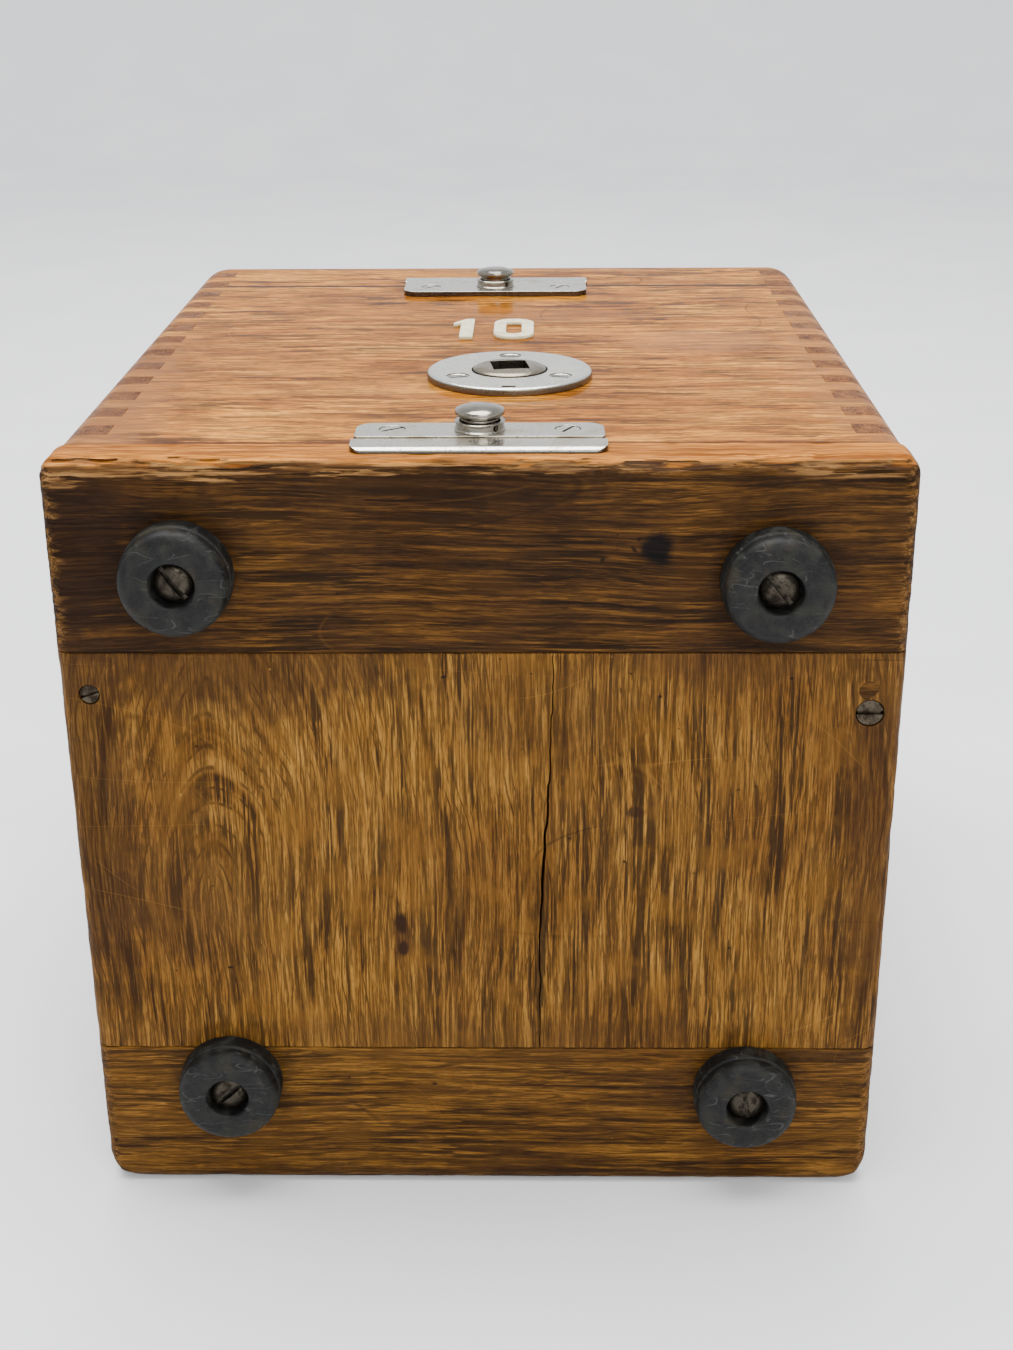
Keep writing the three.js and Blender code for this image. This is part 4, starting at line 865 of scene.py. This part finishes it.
aged_steel = old_steel("aged_steel", (70, 62, 50), (42, 33, 23), (24, 18, 13))
foot_steel = old_steel("foot_screw_steel", (58, 53, 44), (30, 25, 18), (15, 12, 9))
# a dark colour for screw slots and the studs' necks: painted shade in the slots and under the stud heads,
# with some dirt
gap_shade_and_dirt, tree, surface, place = new_material("gap_shade_and_dirt", {"Roughness": 0.8})
feed(tree, surface, Base_Color=tint(tree, remap(tree, speckle(tree, place, (1, 1, 1), 2), 0.4, 0.6),
                                    paint(22, 17, 12), paint(52, 40, 26)))


def slotted(profile, radius, top, slot_width, slot_depth, angle):
    """a turned screw with a slot filed across its head, which takes the second material"""
    reach = radius * 1.3
    file = box_mesh((-reach, -slot_width / 2, top - slot_depth), (reach, slot_width / 2, top + 2))
    file.transform(Matrix.Rotation(math.radians(angle), 4, "Z"))
    screw = carved(lathe(profile, 56), (file, "DIFFERENCE"))
    # the faces inside the slot take the second material; where that is the dark gap colour it is painted
    # shade with some dirt
    for face in screw.polygons:
        across = face.center.y * math.cos(math.radians(angle)) - face.center.x * math.sin(math.radians(angle))
        face.material_index = int(abs(across) < 0.52 * slot_width * MM and face.center.z < (top - 0.04) * MM)
    return screw


# flange, groove and shoulder, then down into the sunk middle
foot_profile = [(1.9, 0), (10.9, 0), (11.1, 0.25), (11.1, 3.7), (10.95, 4.05), (10.6, 4.25), (10.6, 4.45),
                (10.9, 4.75), (10.85, 5.9), (10.6, 6.8), (10.1, 7.5), (9.3, 7.92), (8.6, 8), (6.4, 7.9),
                (5.3, 7.94), (4.75, 7.8), (4.42, 7.3), (4.4, 4.2), (1.9, 4.2), (1.9, 0)]
screw_profile = [(0, -13.3), (1.5, -12), (1.5, 0), (3.7, 0), (3.98, 0.25), (3.98, 0.85), (3.7, 1.35),
                 (2.9, 1.85), (1.6, 2.2), (0, 2.3)]
slot_angles = {"upper_left": 127, "upper_right": 129, "lower_left": 42, "lower_right": 100}
for corner_name, angle in slot_angles.items():
    x, z, fixed_at = feet[corner_name].x, feet[corner_name].z, box_of("foot_" + corner_name)[1].y
    foot = lathe(foot_profile, 144)
    for vertex in foot.vertices:
        spot = vertex.co / MM
        radius = math.hypot(spot.x, spot.y)
        if radius > 4.6:
            lump = lumpy(spot.x / 3.5, spot.y / 3.5, spot.z / 3.5 + angle)
            on_shoulder = spot.z > 4.6
            chip = max(0.0, lumpy(spot.x / 1.6, spot.y / 1.6, angle) - 0.35) * on_shoulder * (radius > 8)
            pull = (0.1 * abs(lump) + 0.7 * chip) * MM
            vertex.co -= Vector((spot.x / radius, spot.y / radius, 0.7 * on_shoulder)) * pull
    show(f"foot_{corner_name}_rubber", facing_front(foot, x, fixed_at, z), rubber, "case", "foot_rubber",
         "foot_" + corner_name, sharp=50)
    seat = box_of("foot_screw_" + corner_name)[1].y - 13.5
    screw = slotted(screw_profile, 4, 2.3, 1.0, 1.25, angle)
    show(f"foot_screw_{corner_name}_steel", facing_front(screw, x, seat, z), (foot_steel, gap_shade_and_dirt),
         "case", "aged_steel", "foot_screw_" + corner_name)

# ---- base board screws ----
# Countersunk steel wood screws hold the base board to the ends of the side walls, heads flush.
# Above the right one an older screw hole has been plugged with a turned oak peg.
for side, angle in (("left", 20), ("right", 0)):
    low, high = box_of("base_screw_" + side)
    centre, radius = centre_of("base_screw_" + side), (high.x - low.x) / 2
    shank = radius * 0.55
    screw = slotted([(0, -25.6), (shank, -23.5), (shank, -1.6), (radius - 0.1, -0.35), (radius, -0.15),
                     (radius - 0.12, 0), (0, 0.02)], radius, 0, radius * 0.3, 0.75, angle)
    show(f"base_screw_{side}_steel", facing_front(screw, centre.x, front + 0.35, centre.z),
         (aged_steel, gap_shade_and_dirt), "case", "aged_steel", "base_screw_" + side)
plug = lathe([(0, -4), (2.3, -4), (2.3, -0.25), (2.05, 0), (0, 0.03)], 40)
show("old_hole_plug", facing_front(plug, 77.7, front + 0.12, 120.3), batten_upper_oak, "case", "oak_board")

# ---- catches ----
# Each is a nickelled brass plate screwed on beside a joint, with a collar that a press stud stands in.
# A half-round strip across the joint carries a fork that the stud holds; the collar's hole takes a seal.
metal_wear, given, made = effect(
    "metal_wear", {"Position": ORIGIN, "Patch": 0.12}, ["Tarnish", "Pits", "Scuffs"])
patches = vector_calc(metal_wear, "MULTIPLY", given["Position"], all_ways(metal_wear, given["Patch"]))
tarnish = remap(metal_wear, speckle(metal_wear, patches, (1, 1, 1), 4), 0.5, 0.7)
pits = remap(metal_wear, speckle(metal_wear, given["Position"], (1.7, 1.7, 1.7), 3), 0.62, 0.72)
crossed = calc(metal_wear, "MAXIMUM", speckle(metal_wear, given["Position"], (0.5, 9, 9), 2),
               speckle(metal_wear, given["Position"], (9, 0.6, 9), 2))
for label, value in (("Tarnish", tarnish), ("Pits", pits), ("Scuffs", crossed)):
    metal_wear.links.new(value, made[label])


def plated(name, bright, dull, dark, rough, patch=0.12, side_shade_and_dirt=0.0):
    """a handled metal: bright, dull in patches, with dark pits and fine rubbed lines; the last value darkens
    the faces that do not face up, a painted shade with some dirt
    """
    material, tree, surface, place = new_material(name, {"Metallic": 1.0})
    worn = place_effect(tree, metal_wear, {"Position": place, "Patch": patch})
    colour = tint(tree, times(tree, worn["Tarnish"], 0.75), paint(*bright), paint(*dull))
    colour = tint(tree, times(tree, worn["Pits"], 0.7), colour, paint(*dark))
    # painted shade with some dirt: faces turned away from the top are darkened towards the dark colour
    colour = tint(tree, remap(tree, facing(tree, "z"), 0.8, 0.35, 0.0, side_shade_and_dirt), colour, paint(*dark))
    roughness = plus(tree, rough, times(tree, worn["Tarnish"], 0.16))
    roughness = plus(tree, roughness, remap(tree, worn["Scuffs"], 0.5, 0.7, -0.03, 0.12))
    roughness = plus(tree, roughness, times(tree, worn["Pits"], 0.25))
    height = less(tree, times(tree, worn["Scuffs"], 0.25), worn["Pits"])
    feed(tree, surface, Base_Color=colour, Roughness=roughness, Normal=relief(tree, height, 0.02))
    return material


# the last value of each is how far its side faces get the painted shade with dirt
nickel = plated("nickel_plate", (204, 201, 190), (160, 151, 132), (58, 48, 34), 0.22, 0.16, 0.9)
# a darker copy of the same nickel for the studs and their collars: the dark is a painted reflection
stud_nickel_dark_reflection = plated("stud_nickel_dark_reflection", (150, 145, 133), (108, 100, 84), (48, 40, 29), 0.13, 0.3, 0.25)


def flat_head(radius, length, angle):
    """a small countersunk screw, its head's face at zero"""
    shank = radius * 0.5
    profile = [(0, -length), (shank, shank - length), (shank, -shank), (radius, -0.25), (radius, -0.08),
               (radius - 0.1, 0), (0, 0.03)]
    return slotted(profile, radius, 0, radius * 0.26, radius * 0.3, angle)


def fork_block(half, ends, low_z, high_z):
    """one block of a fork, between two places along the case"""
    low_y, high_y = sorted(ends)
    return box_mesh((-half, low_y, low_z), (half, high_y, high_z))


for name, screw_angles in (("base", (35, 62)), ("lid", (40, 62))):
    stud, (joint, way) = studs[name], joints[name]
    plate_low, plate_high = box_of(name + "_catch_plate")
    face = wall_top + 1.4
    radii = (0.6, 0.6, 3.6, 3.6) if way > 0 else (3.6, 3.6, 0.6, 0.6)
    plate = extruded(rounded_outline(plate_low, plate_high, radii), (wall_top, face), "z")
    cuts = [(post(4.1, wall_top - 1, face + 1, stud.x, stud.y, 64), "DIFFERENCE")]
    for side, angle in zip(("left", "right"), screw_angles):
        node = f"{name}_catch_screw_{side}"
        centre = centre_of(node)
        dish = lathe([(0, -4), (1.5, -4), (1.5, -1.4), (2.62, -0.28), (2.62, 2), (0, 2)], 48)
        cuts.append((moved(dish, centre.x, centre.y, face), "DIFFERENCE"))
        screw = moved(flat_head(2.5, 7.8, angle), centre.x, centre.y, face - 0.12)
        show(node + "_nickel", screw, (nickel, gap_shade_and_dirt), "case", "nickel_plate", node)
    show(name + "_catch_plate_nickel", eased(carved(plate, *cuts), 0.22, 3), nickel, "case", "nickel_plate",
         name + "_catch_plate")

    collar = lathe([(4.12, 0), (5.1, 0), (5.1, 0.3), (4.85, 0.55), (4.78, 1.4), (4.95, 1.6), (5.0, 1.85),
                    (4.85, 2.0), (4.3, 2.0), (4.12, 1.85), (4.12, 0)], 96)
    drill = lathe([(0, -9), (0.65, -9), (0.65, 9), (0, 9)], 24)
    drill.transform(Matrix.Translation((0, 0, 1.1 * MM)) @ Matrix.Rotation(math.radians(-48), 4, "Z")
                    @ Matrix.Rotation(math.pi / 2, 4, "Y"))
    collar = moved(carved(collar, (drill, "DIFFERENCE")), stud.x, stud.y, face)
    show(name + "_catch_collar", collar, stud_nickel_dark_reflection, "case", "nickel_plate")

    # the stud: a polished domed head on a neck, with its pin through the wall to a washer inside
    stem = lathe([(0, -12.8), (3, -12.8), (3, -10.8), (1.5, -10.8), (1.5, 0.2), (3.8, 0.2), (3.8, 3.9),
                  (3.5, 4.05), (3.5, 4.3), (4.5, 4.4), (4.85, 4.6), (4.95, 4.9), (4.93, 5.35), (4.78, 5.6),
                  (4.45, 5.72), (4.2, 5.86), (3.2, 6.15), (1.8, 6.34), (0, 6.4)], 96)
    # the neck between collar and head takes the dark gap colour: a painted shade under the head
    for polygon in stem.polygons:
        polygon.material_index = int(0.2 * MM < polygon.center.z < 4.5 * MM)
    show(name + "_catch_button_nickel", moved(stem, stud.x, stud.y, wall_top), (stud_nickel_dark_reflection, gap_shade_and_dirt),
         name + "_button", "nickel_plate", name + "_catch_button", sharp=38)

    # the strip: half round along its outer edge, with its fork under the plate
    strip_low, strip_high = box_of(name + "_catch_strip")
    near_edge, joint_edge = joint - way * 7.4, joint - way * 0.4
    strip_top = wall_top + 1.2
    section = [(joint_edge, wall_top), (joint_edge, strip_top - 0.35),
               (joint_edge - way * 0.3, strip_top - 0.05), (joint_edge - way * 1.6, strip_top),
               (near_edge + way * 1.6, strip_top - 0.05)]
    section += [(near_edge + way * (1.6 - 1.6 * math.sin(a)), wall_top + 0.1 + 1.05 * math.cos(a))
                for a in (0.35, 0.7, 1.05, 1.35, math.pi / 2)] + [(near_edge, wall_top)]
    strip = extruded(section, (strip_low.x, strip_high.x), "x")
    near_y, far_y = sorted((near_edge, joint_edge))
    ends = (2.6, 2.6, 0.5, 0.5) if way > 0 else (0.5, 0.5, 2.6, 2.6)
    rounded = extruded(rounded_outline((strip_low.x, near_y), (strip_high.x, far_y), ends),
                       (wall_top - 1, wall_top + 3), "z")
    root, tip = joint - way * 3.2, joint + way * 8.6
    between_prongs = (stud.y - way * 4.2, stud.y + way * 30)
    strip = carved(
        strip, (rounded, "INTERSECT"),
        (fork_block(7, (tip, root), wall_top - 1.3, wall_top - 0.2), "UNION"),
        (fork_block(7, (root, joint_edge), wall_top - 1.3, wall_top + 0.4), "UNION"),
        (fork_block(4.2, between_prongs, wall_top - 4, wall_top - 0.1), "DIFFERENCE"))
    show(name + "_catch_strip_nickel", eased(strip, 0.15, 2), nickel, "case" if name == "base" else "lid",
         "nickel_plate", name + "_catch_strip")

# ---- key escutcheon and spindle ----
# A turned nickelled disc held by three countersunk screws, filed with an index notch at its near rim.
# The switch's steel spindle stands in it, its domed end broached square for a loose key.
disc_low, disc_high = box_of("escutcheon")
disc_radius, disc_top = (disc_high.x - disc_low.x) / 2, disc_high.z
disc = lathe([(8.4, 0), (disc_radius - 0.1, 0), (disc_radius, 0.15), (disc_radius, 1.15),
              (disc_radius - 0.18, 1.5), (disc_radius - 0.5, 1.72), (disc_radius - 1.1, 1.8), (8.8, 1.8),
              (8.5, 1.7), (8.4, 1.45), (8.4, 0)], 160)
cuts = []
for number, angle in ((1, 5), (2, 20), (3, 160)):
    node = f"escutcheon_screw_{number}"
    centre = centre_of(node)
    dish = lathe([(0, -4), (1.4, -4), (1.4, -1.2), (2.55, -0.25), (2.55, 2), (0, 2)], 48)
    cuts.append((moved(dish, centre.x - key_centre.x, centre.y - key_centre.y, 1.8), "DIFFERENCE"))
    screw = moved(flat_head(2.3, 7.8, angle), centre.x, centre.y, disc_top - 0.3)
    show(node + "_nickel", screw, (nickel, gap_shade_and_dirt), "case", "nickel_plate", node)
index_notch = box_mesh((-1.5, -disc_radius + 1.3, 1.1), (1.5, -disc_radius + 2.6, 3))
disc = moved(carved(disc, *cuts, (index_notch, "DIFFERENCE")), key_centre.x, key_centre.y, wall_top)
satin = plated("satin_nickel", (214, 213, 205), (186, 182, 168), (84, 70, 46), 0.3, 0.2, 0.9)
show("escutcheon_nickel", disc, satin, "case", "nickel_plate", "escutcheon")
bottom, top = (corner.z for corner in box_of("key_spindle"))
HUB_TOP = 146.4
spindle = lathe([(0, bottom), (4.7, bottom), (5, bottom + 0.3), (5, HUB_TOP), (7.4, HUB_TOP + 0.3),
                 (7.4, wall_top - 4.3), (9.8, wall_top - 4.3), (10, wall_top - 4.1), (10, wall_top - 0.5),
                 (9.8, wall_top - 0.3), (8.1, wall_top - 0.3), (8.1, disc_top + 0.05), (7.9, disc_top + 0.3),
                 (7.2, disc_top + 0.62), (6, disc_top + 0.85), (4, disc_top + 0.97), (0, disc_top + 1)], 128)
broach = box_mesh((-4, -4, top - 13), (4, 4, top + 2))
broach.transform(Matrix.Rotation(math.radians(8), 4, "Z"))
spindle = moved(carved(spindle, (broach, "DIFFERENCE")), key_centre.x, key_centre.y)
spindle_steel = plated("spindle_steel", (132, 124, 108), (96, 86, 68), (40, 32, 22), 0.3, 0.3, 0.7)
show("key_spindle_steel", eased(spindle, 0.18, 2), spindle_steel, "key_rotor", "nickel_plate", "key_spindle")

# ---- numerals ----
# A plain one and nought in aged ivory-coloured celluloid, cut from sheet with softened edges.
# Each is glued and pinned to the key wall; dirt has settled along their edges.
ivory, tree, surface, place = new_material("ivory_celluloid", {"Roughness": 0.4, "Subsurface Weight": 0.1})
aged = place_effect(tree, dust, {"Position": place, "Grain": 0.35})
colour = tint(tree, remap(tree, aged["Fine"], 0.35, 0.65), paint(232, 222, 186), paint(214, 200, 158))
colour = tint(tree, times(tree, aged["Mask"], 0.5), colour, paint(176, 150, 104))
feed(tree, surface, Base_Color=colour, Normal=relief(tree, aged["Fine"], 0.03))
low, high = box_of("numeral_one")
tall = high.y - low.y
one = [(low.x + 1.8, low.y), (high.x, low.y), (high.x, high.y), (high.x - 2.1, high.y),
       (low.x, low.y + tall * 0.78), (low.x, low.y + tall * 0.7), (low.x + 1.8, low.y + tall * 0.77)]
one = eased(extruded(one, (low.z, high.z), "z"), 0.22, 3)
show("numeral_one_ivory", one, ivory, "case", "ivory_celluloid", "numeral_one")
low, high = box_of("numeral_nought")
ring = extruded(rounded_outline(low, high, [4.6] * 4, 14), (low.z, high.z), "z")
inside = rounded_outline((low.x + 3, low.y + 3.4), (high.x - 3, high.y - 3.4), [1.85] * 4, 10)
nought = carved(ring, (extruded(inside, (low.z - 1, high.z + 1), "z"), "DIFFERENCE"))
show("numeral_nought_ivory", eased(nought, 0.22, 3), ivory, "case", "ivory_celluloid", "numeral_nought")


# ---- rotary switch ----
# Under the key wall a moulded hub on the spindle carries a copper blade across two spring jaws.
# The jaws hang from a glazed porcelain block screwed to the wall's inner face.
def from_frame(node, width, steps=2):
    """the frame's own solid, with its arrises taken off"""
    return eased(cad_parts[node].data.copy(), width, steps)


def glazed(name, pale, shade, speck):
    material, tree, surface, place = new_material(name, {"Coat Weight": 0.6, "Coat Roughness": 0.08})
    soil = place_effect(tree, dust, {"Position": place, "Grain": 0.07})
    colour = tint(tree, times(tree, soil["Mask"], 0.6), paint(*pale), paint(*shade))
    colour = tint(tree, remap(tree, soil["Fine"], 0.68, 0.75, 0.0, 0.7), colour, paint(*speck))
    feed(tree, surface, Base_Color=colour, Roughness=remap(tree, soil["Mask"], 0.0, 1.0, 0.16, 0.4),
         Normal=relief(tree, speckle(tree, place, (0.12, 0.12, 0.12), 2), 0.35))
    return material


porcelain = glazed("porcelain", (232, 228, 216), (204, 194, 170), (120, 100, 76))
ebonite = glazed("ebonite", (34, 29, 25), (64, 52, 40), (90, 78, 62))
copper = plated("copper", (196, 124, 84), (140, 86, 58), (70, 44, 32), 0.3)
brass = plated("brass", (196, 160, 88), (150, 118, 62), (78, 60, 34), 0.3)
for node, coat, body, slot, width in (
    ("switch_base", porcelain, "case", "porcelain", 0.9),
    ("switch_rotor", ebonite, "key_rotor", "ebonite", 0.5),
    ("switch_blade", copper, "key_rotor", "copper", 0.25),
    ("switch_jaw_left", copper, "case", "copper", 0.2),
    ("switch_jaw_right", copper, "case", "copper", 0.2),
):
    show(node + "_made", from_frame(node, width), coat, body, slot, node)

# ---- fuse panel ----
# A honed slate panel on two oak cleats carries a porcelain base with four brass spring clips.
# Two porcelain carriers pull out by their grips, each with a copper fuse element between its blades.
slate, tree, surface, place = new_material("slate", {"Specular IOR Level": 0.35})
cleft = place_effect(tree, dust, {"Position": place, "Grain": 0.09})
colour = tint(tree, cleft["Mask"], paint(50, 54, 58), paint(70, 74, 76))
colour = tint(tree, remap(tree, cleft["Fine"], 0.6, 0.72, 0.0, 0.6), colour, paint(112, 114, 112))
feed(tree, surface, Base_Color=colour, Roughness=remap(tree, cleft["Mask"], 0.0, 1.0, 0.5, 0.7),
     Normal=relief(tree, cleft["Fine"], 0.05))
made_from_frame = [("fuse_panel", slate, "case", "slate", 0.5),
                   ("fuse_base", porcelain, "case", "porcelain", 0.9)]
for side in ("left", "right"):
    made_from_frame += [
        ("panel_cleat_" + side, side_oak, "case", "oak_case", 0.4),
        (f"fuse_clip_{side}_back", brass, "case", "brass", 0.18),
        (f"fuse_clip_{side}_front", brass, "case", "brass", 0.18),
        ("fuse_element_" + side, copper, "fuse_" + side, "copper", 0.15),
        ("fuse_carrier_" + side, porcelain, "fuse_" + side, "porcelain", 1.2),
        ("cable_bush_" + side, ebonite, "case", "ebonite", 0.4),
    ]
for node, coat, body, slot, width in made_from_frame:
    show(node + "_made", from_frame(node, width, 3), coat, body, slot, node)
panel_low, panel_high = box_of("fuse_panel")
base_low, base_high = box_of("fuse_base")
block_face = box_of("fuse_clip_left_back")[0].y
screw_spots = [("panel", x, panel_high.y, z, 3.2)
               for x in (-70, 70) for z in (panel_low.z + 9, panel_high.z - 9)]
screw_spots += [("terminal", x, block_face, z, 2.6)
                for x in (-27, 27) for z in (base_low.z + 4.2, base_high.z - 4.2)]
for number, (kind, x, y, z, radius) in enumerate(screw_spots):
    head = slotted([(0, -3), (radius * 0.5, -3), (radius * 0.5, 0), (radius - 0.15, 0), (radius, 0.15),
                    (radius, 1.3), (radius - 0.35, 1.7), (0, 1.9)], radius, 1.8, 0.7, 0.9, 25 + 47 * number)
    head.transform(Matrix.Rotation(-math.pi / 2, 4, "X"))
    show(f"{kind}_screw_{number + 1}", moved(head, x, y, z), brass, "case", "brass")
